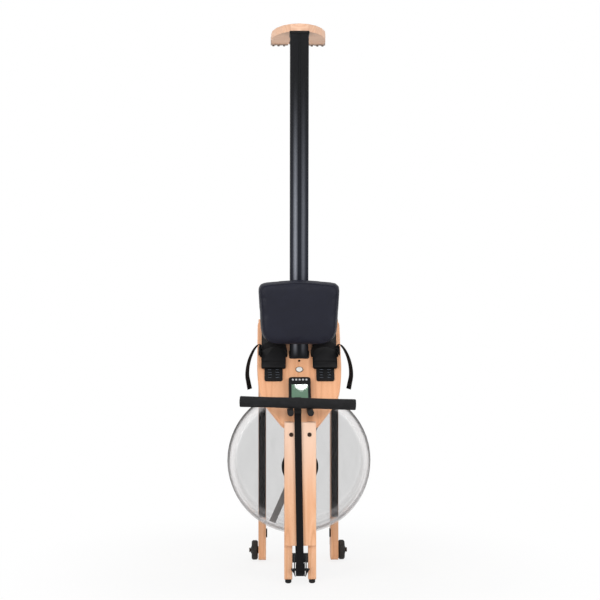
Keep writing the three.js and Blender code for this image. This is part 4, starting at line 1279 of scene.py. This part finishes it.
@dataclass
class SeatCushion:
    """The upholstered seat: a foam pad in welted vinyl that is drawn down round a moulded base."""

    half_width: float = 156.0
    aside: float = -2.0
    half_length: float = 124.5
    peak: float = 15.0
    taper: float = 14.0
    upper_corner: float = 30.0
    lower_corner: float = 66.0
    along: float = 276.0
    foot: float = 40.6
    base_share: float = 0.93
    base_height: float = 8.0
    base_overlap: float = 2.0
    voxel: float = 0.0045
    pressure: float = 4.0
    frames: int = 20
    swell: float = 0.005
    held: float = 0.012
    welt_radius: float = 1.8
    welt_share: float = 0.935
    welt_step: float = 6.0

    def build(self) -> None:
        """Makes the cushion, its welt and its base."""
        self.welt(self.cushion())
        outline = [(x * self.base_share, y * self.base_share) for x, y in self.outline(6)]
        base = plated("seat_base", outline, 0, self.base_height + self.base_overlap)
        base.data.transform(Matrix.Translation((0, self.along, self.foot)))
        settle(smoothed(softened(base, 2.5)), BLACK_ABS, RAIL, Body.SEAT)

    def outline(self, steps: int) -> list[Pair]:
        """Draws the seat's outline about its own middle.

        Args:
            steps: how many points make a corner.

        Returns:
            Points of (across, along).
        """
        half, long = self.half_width, self.half_length
        return rounded([
            (half - self.taper, -long, self.lower_corner),
            (half, long - self.peak, self.upper_corner),
            (0, long, half / 3),
            (-half, long - self.peak, self.upper_corner),
            (-half + self.taper, -long, self.lower_corner),
        ], steps)

    def cushion(self) -> Piece:
        """Blows the CAD pad up into a crowned cushion.

        Returns:
            The cushion, in the machine's metres.
        """
        pad = bpy.data.objects.new("seat_cushion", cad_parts["seat_pad"].data.copy())
        bpy.context.collection.objects.link(pad)
        up = RAIL.to_machine().to_3x3() @ Vector(UP)
        level = RAIL.to_machine() @ Vector((0, self.along, self.foot + self.base_height))
        with editing(pad, "VERT", all_of_it=True):
            bpy.ops.mesh.remove_doubles(threshold=1e-5)
            bpy.ops.mesh.select_all(action="SELECT")
            # The normal is 0.001 long, and with it the cover stays whole down to the base's foot
            bpy.ops.mesh.bisect(plane_co=level, plane_no=up, use_fill=True, clear_inner=True)
        pad.data.remesh_voxel_size = self.voxel
        alone(pad)
        bpy.ops.object.voxel_remesh()
        self.inflate(pad, up.normalized(), level)
        applied(pad, "SMOOTH", factor=0.5, iterations=4)
        self.stretch(pad)
        applied(pad, "SUBSURF", levels=1, render_levels=1)
        settle(smoothed(pad, 60), VINYL, None, Body.SEAT, "seat_pad")
        return pad

    def inflate(self, pad: Piece, up: Vector, level: Vector) -> None:
        """Swells the cover with the cloth solver and keeps what stays near its rest.

        Args:
            pad: the cushion.
            up: the way off the seat's base.
            level: a point of the base's top.
        """
        rest = [v.co.copy() for v in pad.data.vertices]
        cloth = pad.modifiers.new("Cloth", "CLOTH")
        cloth.settings.use_pressure = True
        cloth.settings.uniform_pressure_force = self.pressure
        cloth.settings.effector_weights.gravity = 0
        cloth.point_cache.frame_start, cloth.point_cache.frame_end = 1, self.frames
        scene = bpy.context.scene
        for number in range(1, self.frames + 1):
            scene.frame_set(number)
        shape = pad.evaluated_get(bpy.context.evaluated_depsgraph_get()).to_mesh()
        moved = [v.co.copy() for v in shape.vertices]
        pad.modifiers.remove(cloth)
        scene.frame_set(1)
        for vertex, start, end in zip(pad.data.vertices, rest, moved):
            free = min(max((start - level).dot(up) / self.held, 0.0), 1.0)
            step = (end - start) * free
            vertex.co = start + step * min(1.0, self.swell / max(step.length, 1e-9))

    def stretch(self, pad: Piece) -> None:
        """Draws the cushion out to the seat's outline again, which the cover's tension had pulled in.

        Args:
            pad: the cushion.
        """
        place = RAIL.to_machine()
        pad.data.transform(place.inverted())
        sides = ([v.co[axis] for v in pad.data.vertices] for axis in (0, 1))
        ends = [(min(side), max(side)) for side in sides]
        halves = (self.half_width, self.half_length)
        scale = [2 * half / (high - low) for half, (low, high) in zip(halves, ends)]
        middle = Vector(((low + high) / 2 for low, high in (*ends, (0, 0))))
        target = Matrix.Translation((self.aside, self.along, 0)) @ Matrix.Diagonal((*scale, 1, 1))
        pad.data.transform(place @ target @ Matrix.Translation(-middle))

    def welt(self, pad: Piece) -> None:
        """Lays the welt cord on the seam between the top cover and its side band.

        Args:
            pad: the cushion that carries it.
        """
        surface = BVHTree.FromObject(pad, bpy.context.evaluated_depsgraph_get())
        matrix = RAIL.to_machine()
        down = -(matrix.to_3x3() @ Vector(UP)).normalized()
        corners = [Vector(corner) for corner in self.outline(12)]
        points = []
        for here, there in zip(corners, corners[1:] + corners[:1]):
            for share in evenly(0, 1, max(1, round((there - here).length / self.welt_step)))[:-1]:
                u, v = here.lerp(there, share) * self.welt_share
                # Each ray starts 90 mm off the base, above the crown
                start = matrix @ Vector((u + self.aside, v + self.along, self.foot + 90))
                points.append(surface.ray_cast(start, down)[0] / MM)
        points.append(points[0].copy())
        ring = tube_stations(points)
        ring[-1] = ring[0]
        cord = swept("seat_welt", ring, round_section(self.welt_radius, 10))
        cord.data.transform(Matrix.Scale(MM, 4))
        settle(cord, VINYL, None, Body.SEAT)


@dataclass
class FootBinding:
    """What holds one foot: the webbing arch, its buckle and free tail, the tread and its liner."""

    side: Side
    out: float = 100.0
    loop_along: float = 21.0
    loop_half: float = 51.5
    loop_rise: float = 58.0
    base: float = 5.6
    width: float = 28.0
    thickness: float = 2.5
    buckle_size: Triple = (5.0, 31.0, 26.0)
    buckle_rim: float = 4.0
    buckle_well: float = 1.6
    bar_radius: float = 2.2
    bar_length: float = 34.0
    bar_place: Triple = (3.4, 0.0, 1.0)
    lip_size: Triple = (3.0, 31.0, 6.0)
    lip_place: Triple = (3.2, 0.0, 10.5)
    buckle_gap: float = 2.6
    buckle_back: float = 6.0
    buckle_height: float = 24.0
    buckle_lean: float = -14.0
    tail_width: float = 25.0
    tail_thickness: float = 2.0
    # The tail's middle line: out, height and along in the level frame, and its turn in degrees
    tail_route: tuple[tuple[float, float, float, float], ...] = (
        (144, 253, 872, 90), (150, 259.5, 882, 80), (160, 263, 884, 74), (172, 263.5, 872, 70),
        (183, 262.5, 853, 66), (193, 261, 828, 62), (200, 259, 798, 58), (202, 257, 765, 54),
        (197, 254, 735, 49), (192.5, 253, 712, 46),
    )
    tread_half: float = 44.0
    tread_base: float = 12.5
    tread_rise: float = 1.6
    tread_corner: float = 3.0
    treads: tuple[Pair, Pair] = ((-53.0, -27.0), (-22.5, 110.0))
    liner_size: Triple = (50.0, 48.0, 0.24)
    liner_along: float = -75.5
    liner_height: float = 0.13
    liner_rim: float = 1.5

    def build(self) -> None:
        """Makes the side's pieces."""
        self.arch()
        self.buckle()
        self.tail()
        self.liner()
        self.tread()

    def arch(self) -> None:
        """Bends the webbing over the foot."""
        stations = []
        for angle in evenly(math.pi, 0, 48):
            across, rise = math.cos(angle), math.sin(angle)
            at = Vector((self.side.value * self.out + self.loop_half * across, self.loop_along,
                         self.base + self.loop_rise * rise))
            normal = Vector((self.loop_rise * across, 0, self.loop_half * rise)).normalized()
            stations.append(Station(at, Vector((0, 1, 0)), normal))
        section = webbing_section(self.width, self.thickness)
        strap = swept(f"{self.side.word}_foot_webbing", stations, section)
        settle(strap, STRAP_CLOTH, PANEL, replaces=f"{self.side.word}_foot_strap")

    def buckle(self) -> None:
        """Makes the ladder buckle where the tail leaves the arch."""
        name = f"{self.side.word}_buckle"
        body = cut_block(name, self.buckle_size, (0, 0, 0))
        smoothed(softened(pressed(body, RIGHT, self.buckle_rim, self.buckle_well), 1.2))
        bar = cut_rod(f"{name}_bar", self.bar_radius, self.bar_length, self.bar_place, 16, 90)
        lip = cut_block(f"{name}_lip", self.lip_size, self.lip_place)
        buckle = joined(name, body, smoothed(bar), smoothed(softened(lip, 1.0)))
        place = Matrix.Translation((
            self.out + self.loop_half + self.buckle_gap,
            self.loop_along - self.buckle_back,
            self.base + self.buckle_height,
        ))
        buckle.data.transform(place @ Matrix.Rotation(math.radians(self.buckle_lean), 4, "Y"))
        if self.side is Side.LEFT:
            buckle.data.transform(Matrix.Scale(-1, 4, RIGHT))
            buckle.data.flip_normals()
        settle(buckle, BLACK_ABS, PANEL)

    def tail(self) -> None:
        """Lets the strap's free end curl over and hang."""
        sign = self.side.value
        places = [(Vector((sign * out, along, height)), math.radians(turn))
                  for out, height, along, turn in spline(self.tail_route, 8)]
        stations = []
        for i, (at, angle) in enumerate(places):
            ahead = (places[min(i + 1, len(places) - 1)][0] - places[max(i - 1, 0)][0]).normalized()
            level = Vector((sign * math.cos(angle), 0, math.sin(angle)))
            wide = (level - ahead * level.dot(ahead)).normalized()
            stations.append(Station(at, wide, ahead.cross(wide)))
        section = webbing_section(self.tail_width, self.tail_thickness)
        tail = swept(f"{self.side.word}_tail_webbing", stations, section)
        settle(tail, STRAP_CLOTH, replaces=f"{self.side.word}_strap_tail")

    def liner(self) -> None:
        """Lays the grey liner that shows through the foot plate's slots."""
        centre = (self.side.value * self.out, self.liner_along, self.liner_height)
        sheet = cut_block(f"{self.side.word}_slot_liner", self.liner_size, centre)
        settle(pressed(sheet, UP, self.liner_rim), LINER_ABS, PANEL)

    def tread(self) -> None:
        """Lays the heel rest's tread in two plates, with the dark joint that shows between them."""
        low, high = self.tread_base, self.tread_base + self.tread_rise
        plates = [plated("tread", tablet(self.tread_half, ends, self.tread_corner), low, high)
                  for ends in self.treads]
        tread = smoothed(softened(joined(f"{self.side.word}_heel_tread", *plates), 0.5))
        tread.data.transform(self.side.place(self.out))
        settle(tread, TREAD_ABS, PANEL, Body(f"{self.side.word}_heel"))


@dataclass
class StrapDrive:
    """The drive strap from the handle over the front pulley to the drum, and the recoil cord."""

    width: float = 26.0
    thickness: float = 1.5
    pulley_along: float = 54.0
    pulley_height: float = 440.0
    run_radius: float = 23.35
    strap_end: float = 638.1
    strap_shift: float = 10.0
    drum_along: float = 430.0
    drum_run_height: float = 362.3
    drum_run_radius: float = 43.35
    guide_along: float = 348.0
    cord_radius: float = 3.5
    cord_drum_height: float = 383.3
    cord_drum_radius: float = 26.5
    cord_out: float = -12.0
    cord_anchor: float = 428.5
    cord_turn_along: float = 543.0
    cord_end: float = 112.3

    def build(self) -> None:
        """Makes the pulled run, the hidden run and the cord."""
        self.pulled_run()
        self.hidden_run()
        self.cord()

    def pulled_run(self) -> None:
        """Lays the strap's straight run, which the handle draws out."""
        height = self.pulley_height + self.run_radius
        start = Vector((0, self.pulley_along, height))
        end = Vector((-self.strap_shift, self.strap_end, height))
        stations = [Station(start.lerp(end, share), Vector(RIGHT), Vector(UP))
                    for share in evenly(0, 1, 60)]
        strap = swept("drive_webbing", stations, webbing_section(self.width, self.thickness))
        line = LEVEL.to_machine()
        strap.data.transform(line)
        strap.data.materials.append(STRAP_CLOTH.material())
        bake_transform(strap)
        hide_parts("drive_strap")
        LOG.info("%s: %d faces between two bodies", strap.name, len(strap.data.polygons))

    def hidden_run(self) -> None:
        """Lays the strap round the pulley, back with a quarter twist and half round the drum."""
        pulley = Vector((0, self.pulley_along, self.pulley_height))
        drum = Vector((0, self.drum_along, self.drum_run_height))
        stations = []
        # It starts 1 mm past the pulled run's end
        for angle in evenly(1 / self.run_radius, math.pi, 24):
            out = Vector((0, -math.sin(angle), math.cos(angle)))
            stations.append(Station(pulley + out * self.run_radius, Vector(RIGHT), out))
        leave = pulley + Vector(DOWN) * self.run_radius
        arrive = drum - Vector(RIGHT) * self.drum_run_radius
        part = (self.guide_along - self.pulley_along) / (self.drum_along - self.pulley_along)
        guided = leave.lerp(arrive, part)
        guided.z = arrive.z
        # The twist is over halfway to the guide
        for share in evenly(0, 1, 32)[1:]:
            angle = min(2 * share, 1) * math.pi / 2
            wide = Vector((math.cos(angle), 0, math.sin(angle)))
            thick = Vector((math.sin(angle), 0, -math.cos(angle)))
            stations.append(Station(leave.lerp(guided, share), wide, thick))
        for angle in evenly(0, math.pi, 24):
            out = Vector((-math.cos(angle), math.sin(angle), 0))
            stations.append(Station(drum + out * self.drum_run_radius, Vector(UP), -out))
        strap = swept("return_webbing", stations, webbing_section(self.width, self.thickness))
        settle(strap, STRAP_CLOTH, replaces="return_strap")

    def cord(self) -> None:
        """Runs the stretching cord from the drum round its pulley and forward to the bracket."""
        turn, wound = (self.cord_anchor - self.cord_drum_height) / 2, self.cord_drum_radius
        half_round = evenly(0, math.pi, 24)
        spool = [
            Vector((math.cos(a) * wound, self.drum_along - math.sin(a) * wound, self.cord_drum_height))
            for a in half_round
        ]
        pulley = [
            Vector((self.cord_out, self.cord_turn_along + turn * math.sin(a),
                    self.cord_drum_height + turn - turn * math.cos(a)))
            for a in half_round
        ]
        run_back = [spool[-1].lerp(pulley[0], share) for share in evenly(0, 1, 12)[1:-1]]
        end = Vector((self.cord_out, self.cord_end, self.cord_anchor))
        run_forward = [pulley[-1].lerp(end, share) for share in evenly(0, 1, 30)[1:]]
        route = tube_stations(spool + run_back + pulley + run_forward)
        cord = swept("recoil_shock_cord", route, round_section(self.cord_radius, 14))
        settle(cord, CORD_RUBBER, replaces="recoil_cord")


@dataclass
class PullHandle:
    """The pull handle, a little askew on its pegs: a foam sleeve on a bar, and the strap's clamp."""

    half: float = 214.5
    radius: float = 20.2
    waist: float = 0.9
    end_round: float = 4.5
    plug_radius: float = 9.0
    plug_depth: float = 6.0
    plug_rise: float = 0.8
    plug_gap: float = 0.3
    plug_round: float = 1.2
    dimple: Pair = (4.0, 3.2)
    dimple_depth: float = 1.0
    along: float = 678.4
    height: float = 479.0
    tilt: float = 1.7
    shift: float = 10.0
    clamp_size: Triple = (27.4, 24.0, 12.0)
    clamp_front: float = 638.5
    strap_height: float = 463.35
    clamp_rise: float = 2.0
    clamp_wells: tuple[Pair, Pair] = ((2.2, 2.0), (4.0, 1.2))
    yoke_half: float = 12.0
    yoke_gaps: Pair = (-1.5, 1.3)
    yoke_top: float = 5.0
    yoke_slope: float = 0.35
    screw_radius: float = 3.6
    screw_length: float = 3.0
    screw_back: float = 10.0
    screw_rise: float = 7.2

    def build(self) -> None:
        """Makes the sleeve, its end plugs and the clamp on the strap's end."""
        aside = Matrix.Translation((-self.shift, 0, 0))
        askew = (Matrix.Translation((0, self.along, self.height))
                 @ Matrix.Rotation(math.radians(-self.tilt), 4, "Z"))
        sleeve = self.sleeve()
        sleeve.data.transform(aside @ askew)
        settle(sleeve, GRIP_FOAM, LEVEL, Body.HANDLE, "handle")
        for side in Side:
            plug = self.plug(side)
            plug.data.transform(aside @ askew)
            settle(plug, BLACK_ABS, LEVEL, Body.HANDLE)
        clamp = self.clamp()
        clamp.data.transform(aside)
        settle(clamp, BLACK_ABS, LEVEL, Body.HANDLE)

    def sleeve(self) -> Piece:
        """Turns the foam sleeve, slightly waisted where each hand closes on it.

        Returns:
            The sleeve about its own middle.
        """
        radius, half, hollow = self.radius, self.half, self.half - self.plug_depth
        side = [
            *((radius - self.waist * waist, half * share)
              for waist, share in ((0, 0), (0.5, 0.25), (1, 0.5), (0.5, 0.75), (0, 0.93))),
            *((radius - self.end_round * (1 - math.cos(a)), half - self.end_round * (1 - math.sin(a)))
              for a in evenly(0, math.pi / 2, 5)),
            (self.plug_radius, half), (self.plug_radius, hollow), (0.0, hollow),
        ]
        profile = [(r, -x) for r, x in reversed(side[1:])] + side
        return smoothed(turned("handle_sleeve", profile, 56, RIGHT), 40)

    def plug(self, side: Side) -> Piece:
        """Turns the cap that closes one end of the bar.

        Args:
            side: the end's side.

        Returns:
            The plug about the bar's middle.
        """
        start, end = self.half - self.plug_depth, self.half + self.plug_rise
        radius, bevel = self.plug_radius - self.plug_gap, self.plug_round
        floor = end - self.dimple_depth
        profile = [(0.0, start), (radius, start), (radius, end - bevel), (radius - bevel, end),
                   (self.dimple[0], end), (self.dimple[1], floor), (0.0, floor)]
        sided = [(r, side.value * x) for r, x in profile]
        return smoothed(turned(f"{side.word}_bar_plug", sided, 32, RIGHT), 40)

    def clamp(self) -> Piece:
        """Moulds the clamp that ties the strap to the bar, under the sleeve.

        Returns:
            The clamp, level with the hull.
        """
        middle = (0, self.clamp_front + self.clamp_size[1] / 2, self.strap_height + self.clamp_rise)
        body = cut_block("strap_clamp", self.clamp_size, middle)
        for way, well in zip((FRONT, UP), self.clamp_wells):
            pressed(body, way, *well)
        softened(body, 1.4)
        (inner, outer), half = (self.radius + gap for gap in self.yoke_gaps), self.yoke_half
        profile = [(inner, -half), (outer, -half), (outer, half), (inner, half)]
        yoke = turned("strap_yoke", profile, 48, RIGHT, closed=True)
        with editing(yoke, "VERT", all_of_it=True):
            bpy.ops.mesh.bisect(plane_co=(0, 0, self.yoke_top), plane_no=(0, self.yoke_slope, 1),
                                use_fill=True, clear_outer=True)
        yoke.data.transform(Matrix.Translation((0, self.along, self.height)))
        centre = (0, self.clamp_front + self.screw_back, self.strap_height + self.screw_rise)
        screw = cut_rod("clamp_screw", self.screw_radius, self.screw_length, centre, 20)
        return smoothed(joined("strap_clamp", body, softened(yoke, 0.8), pressed(screw, UP, 1.6, 1.2)))


@dataclass
class WaterTank:
    """The two clear shells of the tank, drawn round and seamless, on their ribbed rubber strips."""

    along: float = 430.0
    floor: float = 120.3
    height: float = 190.0
    radius: float = 276.0
    flange: float = 281.0
    flat_ends: Pair = (120.0, 124.0)
    seal_gap: float = 0.3
    shoulder: float = 40.0
    wall: float = 4.0
    seal: float = 4.0
    lip: float = 5.0
    bore: float = 10.0
    steps: int = 128
    strip_out: float = 146.0
    strip_half: float = 13.0
    strip_ends: Pair = (186.0, 625.0)
    strip_heights: Pair = (112.3, 119.7)
    strip_groove: Pair = (5.0, 1.5)

    def build(self) -> None:
        """Lays the strips and spins both shells, just clear of the seal."""
        for side in Side:
            outline = tablet(self.strip_half, self.strip_ends, 4, middle=side.value * self.strip_out)
            strip = plated(f"{side.word}_tank_rubber", outline, *self.strip_heights)
            pressed(strip, UP, *self.strip_groove)
            settle(smoothed(softened(strip, 0.8)), STRIP_RUBBER, replaces=f"{side.word}_tank_strip")
        rim = (self.height - self.seal) / 2 - self.seal_gap
        for node, flat, sense in (("tank_lower", 0.0, 1), ("tank_upper", self.height, -1)):
            shell = self.shell(f"{node}_shell", flat, sense, rim)
            shell.data.transform(Matrix.Translation((0, self.along, self.floor)))
            settle(smoothed(shell, 40), POLYCARBONATE, replaces=node)

    def shell(self, name: str, flat: float, sense: int, rim: float) -> Piece:
        """Spins one shell: flat, shoulder, wall and flange outside, and back inside.

        Args:
            name: its name.
            flat: the height of its flat.
            sense: 1 where the shell rises from its flat and -1 where it hangs from it.
            rim: how far its flange ends from its flat.

        Returns:
            The shell about the tank's middle.
        """
        def quarter(inset: float) -> list[Pair]:
            """Returns: the shoulder's points from the flat to the wall."""
            radius, wall = self.shoulder - inset, self.radius - inset
            return [(wall - radius + radius * math.sin(a), inset + radius * (1 - math.cos(a)))
                    for a in evenly(0, math.pi / 2, 12)]
        bore, foot = self.bore if sense < 0 else 0.0, rim - self.lip
        flats = [(end, 0.0) for end in (bore, *self.flat_ends)]
        outer = [*flats, *quarter(0.0), (self.radius, foot)]
        edge = self.flange
        flange = [(edge - 1, foot), (edge, foot + 1), (edge, rim - 0.5), (edge - 0.5, rim)]
        inner = [(self.radius - self.wall, rim), *reversed(quarter(self.wall)), (bore, self.wall)]
        profile = [(r, flat + sense * h) for r, h in outer + flange + inner]
        return turned(name, profile, self.steps, closed=bore > 0)


@dataclass
class MonitorDress:
    """The rowing computer's face: a bezel round its display and five domed keys in their wells."""

    display_half: float = 31.0
    display_half_length: float = 32.75
    display_along: float = -173.75
    bead: float = 3.4
    bead_rise: float = 1.3
    bead_corner: float = 6.0
    bead_top: float = 3.0
    bead_drop: float = 1.1
    face: float = 24.3
    key_along: float = -119.5
    key_pitch: float = 13.0
    key_radius: float = 3.8
    key_seat: float = 20.8

    def build(self) -> None:
        """Frames the display with a raised bead, then domes one key and copies it."""
        half, long = self.display_half + self.bead, self.display_half_length + self.bead
        outline = tablet(half, (-long, long), self.bead_corner, 6)
        bezel = plated("display_bezel", outline, 0.0, self.bead_rise)
        with editing(bezel):
            pick(bezel, UP)
            bpy.ops.mesh.inset(thickness=self.bead_top)
            push(DOWN, self.bead_drop)
            bpy.ops.mesh.delete(type="FACE")
            pick(bezel, DOWN)
            bpy.ops.mesh.delete(type="FACE")
        bezel.data.transform(Matrix.Translation((0, self.display_along, self.face)))
        settle(smoothed(softened(bezel, 0.4, 40)), BLACK_ABS, PANEL)
        radius = self.key_radius
        dome = turned("key_cap", [(0.0, 0.0), (radius, 0.0), (radius, 4.8), (radius - 0.7, 5.5),
                                  (radius * 0.55, 5.9), (0.0, 6.0)], 32)
        smoothed(dome, 50)
        for number in range(1, 6):
            place = Matrix.Translation(((number - 3) * self.key_pitch, self.key_along, self.key_seat))
            key = copied(dome, f"key_cap_{number}", place)
            settle(key, KEY_ABS, PANEL, Body(f"key_{number}"), f"button_{number}")
        bpy.data.objects.remove(dome)


@dataclass
class RailDress:
    """The rail's rear end cap, and the gasket that closes the panel's slot round the rail's foot."""

    half_width: float = 38.2
    top: float = 2.0
    along: float = 1345.0
    depth: float = 100.0
    thickness: float = 9.0
    recess: Pair = (4.0, 1.5)
    gasket_half: float = 39.6
    gasket_width: float = 3.4
    gasket_rear: float = 34.0
    gasket_heights: Pair = (-3.0, 1.6)

    def build(self) -> None:
        """Makes the cap and the gasket."""
        half, foot, top = self.half_width, -self.depth, self.top
        outline = rounded([(half, foot, 5), (half, top, 7), (-half, top, 7), (-half, foot, 5)], 5)
        cap = plated("rail_end_cap", outline, 0, self.thickness)
        smoothed(softened(pressed(cap, DOWN, *self.recess), 1.2))
        # The plate was drawn as (across, height) and stands across the rail
        cap.data.transform(Matrix(((1, 0, 0, 0), (0, 0, 1, self.along), (0, 1, 0, 0), (0, 0, 0, 1))))
        cap.data.flip_normals()
        settle(cap, BLACK_ABS, RAIL)
        outer, inner, rear = self.gasket_half, self.gasket_half - self.gasket_width, self.gasket_rear
        band = rounded([
            (outer, rear, 0.5), (outer, -3.5, 9.0), (-outer, -3.5, 9.0), (-outer, rear, 0.5),
            (-inner, rear, 0.5), (-inner, 3.0, 6.0), (inner, 3.0, 6.0), (inner, rear, 0.5),
        ], 5)
        gasket = plated("slot_gasket", band, *self.gasket_heights)
        settle(smoothed(softened(gasket, 0.5)), RUBBER, PANEL)


def bolt(name: str, radius: float, place: Matrix) -> Piece:
    """Models a furniture bolt's head, 2 mm tall, with a hexagon socket.

    Args:
        name: its name.
        radius: its radius.
        place: where its foot stands.

    Returns:
        The head.
    """
    head = pressed(cut_rod(name, radius, 2.0, (0, 0, 1.0), 36), UP, radius * 0.16, rise=0.5)
    smoothed(softened(pressed(head, UP, radius * 0.36, 1.5), 0.35, 40))
    head.data.transform(place)
    return head


@dataclass
class SideFasteners:
    """One side's bolt heads, cradle lug, foot studs and strap keeper, in the level frame."""

    side: Side
    bolt_radius: float = 8.0
    deck_bolt: Triple = (33.8, 558.8, 455.3)
    runner_out: float = 161.0
    runner_bolts: tuple[Pair, ...] = ((772, 75.0), (772, 155.0), (887, 70.0), (887, 125.0))
    lug_size: Triple = (5.0, 32.0, 22.0)
    lug_place: Triple = (128.3, 116.0, 84.0)
    lug_well: Pair = (3.5, 1.5)
    stud_outs: Triple = (57.0, 80.0, 101.0)
    stud_along: float = 2106.2
    stud_height: float = 9.0
    stud_radius: float = 4.6
    stud_length: float = 4.0
    stud_well: Pair = (1.4, 1.0)
    keeper: tuple[Pair, ...] = ((33.0, 60.0), (34.5, 57.0), (24.0, 42.0), (20.2, 31.0),
                                (18.2, 31.0), (20.2, 43.0), (30.5, 58.5))
    keeper_heights: Pair = (440.0, 456.0)

    def build(self) -> None:
        """Makes the side's pieces."""
        side, word = self.side.value, self.side.word
        settle(bolt(f"{word}_deck_bolt", self.bolt_radius, self.side.place(*self.deck_bolt)), BRONZE)
        lean = Matrix.Rotation(math.radians(90 * side), 4, "Y")
        for number, (along, height) in enumerate(self.runner_bolts, 1):
            place = self.side.place(self.runner_out, along, height) @ lean
            settle(bolt(f"{word}_runner_bolt_{number}", self.bolt_radius, place), BRONZE)
        out, along, height = self.lug_place
        lug = cut_block(f"{word}_cradle_lug", self.lug_size, (side * out, along, height))
        settle(smoothed(softened(pressed(lug, (-side, 0, 0), *self.lug_well), 1.2)), BLACK_ABS)
        studs = []
        for out in self.stud_outs:
            centre = (side * out, self.stud_along, self.stud_height)
            stud = cut_rod("stud", self.stud_radius, self.stud_length, centre, 20, 90)
            studs.append(pressed(stud, FRONT, *self.stud_well))
        settle(smoothed(joined(f"{word}_foot_studs", *studs)), STUD_RUBBER)
        outline = [(side * out, along) for out, along in self.keeper]
        keeper = plated(f"{word}_strap_keeper", outline, *self.keeper_heights)
        settle(smoothed(softened(keeper, 0.6)), COATED_STEEL)


@dataclass
class MiddleFasteners:
    """The rail's stop bolt, the drum's rim, the panel's screw and the blank oval disc."""

    stop_place: Triple = (-36.0, 1316.0, -50.0)
    stop_radius: float = 6.0
    ring_place: Triple = (0, 430.0, 386.8)
    ring_radii: Pair = (62.0, 69.5)
    ring_rise: float = 3.0
    screw_radius: float = 4.6
    screw_along: float = -14.3
    # Radius, thickness and height of the middle
    disc_rim: Triple = (15.0, 2.4, 1.2)
    disc_face: Triple = (12.6, 1.0, 2.2)
    disc_along: float = -55.7
    disc_share: float = 0.86

    def build(self) -> None:
        """Makes the pieces."""
        place = Matrix.Translation(self.stop_place) @ Matrix.Rotation(math.radians(-90), 4, "Y")
        settle(bolt("rail_stop_bolt", self.stop_radius, place), COATED_STEEL, RAIL)
        (inner, outer), rise = self.ring_radii, self.ring_rise
        profile = rounded([(inner, 0.0, 0.5), (outer, 0.0, 1.2), (outer, rise, 1.2),
                           (inner, rise, 0.5)])
        ring = turned("drum_rim", profile, 72, closed=True)
        ring.data.transform(Matrix.Translation(self.ring_place))
        settle(smoothed(ring), BLACK_ABS, LEVEL, Body.DRUM)
        place = Matrix.Translation((0, self.screw_along, 0))
        settle(bolt("panel_screw", self.screw_radius, place), BRONZE, PANEL)
        rim, disc = (cut_rod(name, radius, thick, (0, 0, height), 56) for name, (radius, thick, height)
                     in (("oval_rim", self.disc_rim), ("oval_disc", self.disc_face)))
        pressed(rim, UP, 2.0, 1.0)
        pressed(disc, UP, 3.0, rise=0.6)
        place = Matrix.Translation((0, self.disc_along, 0))
        shape = place @ Matrix.Diagonal((1, self.disc_share, 1, 1))
        for piece, finish in ((rim, BRONZE), (disc, BADGE_ABS)):
            piece.data.transform(shape)
            settle(smoothed(softened(piece, 0.4, 30)), finish, PANEL)


def measured(name: str, box: tuple[Vector, Vector]) -> dict[str, list[float]]:
    """Returns: a box's lowest and highest corners as plain numbers, which are also logged."""
    LOG.info("%s box %s to %s", name, *(tuple(round(c, 4) for c in corner) for corner in box))
    return {"low": [float(c) for c in box[0]], "high": [float(c) for c in box[1]]}


def main() -> None:
    """Builds the studio, dresses the CAD nodes and makes each sub-assembly in order."""
    logging.basicConfig(level=logging.INFO, format="%(message)s")
    Studio().build()
    dress_frame()
    assemblies = (SeatCushion(), *(FootBinding(side) for side in Side), StrapDrive(), PullHandle(),
                  WaterTank(), MonitorDress(), RailDress(), *(SideFasteners(side) for side in Side),
                  MiddleFasteners())
    for assembly in assemblies:
        assembly.build()
        LOG.info("%s done", type(assembly).__name__)
    boxes = {"cad": measured("cad", CAD_BOX), "visual": measured("visual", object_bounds())}


if __name__ == "__main__":
    main()
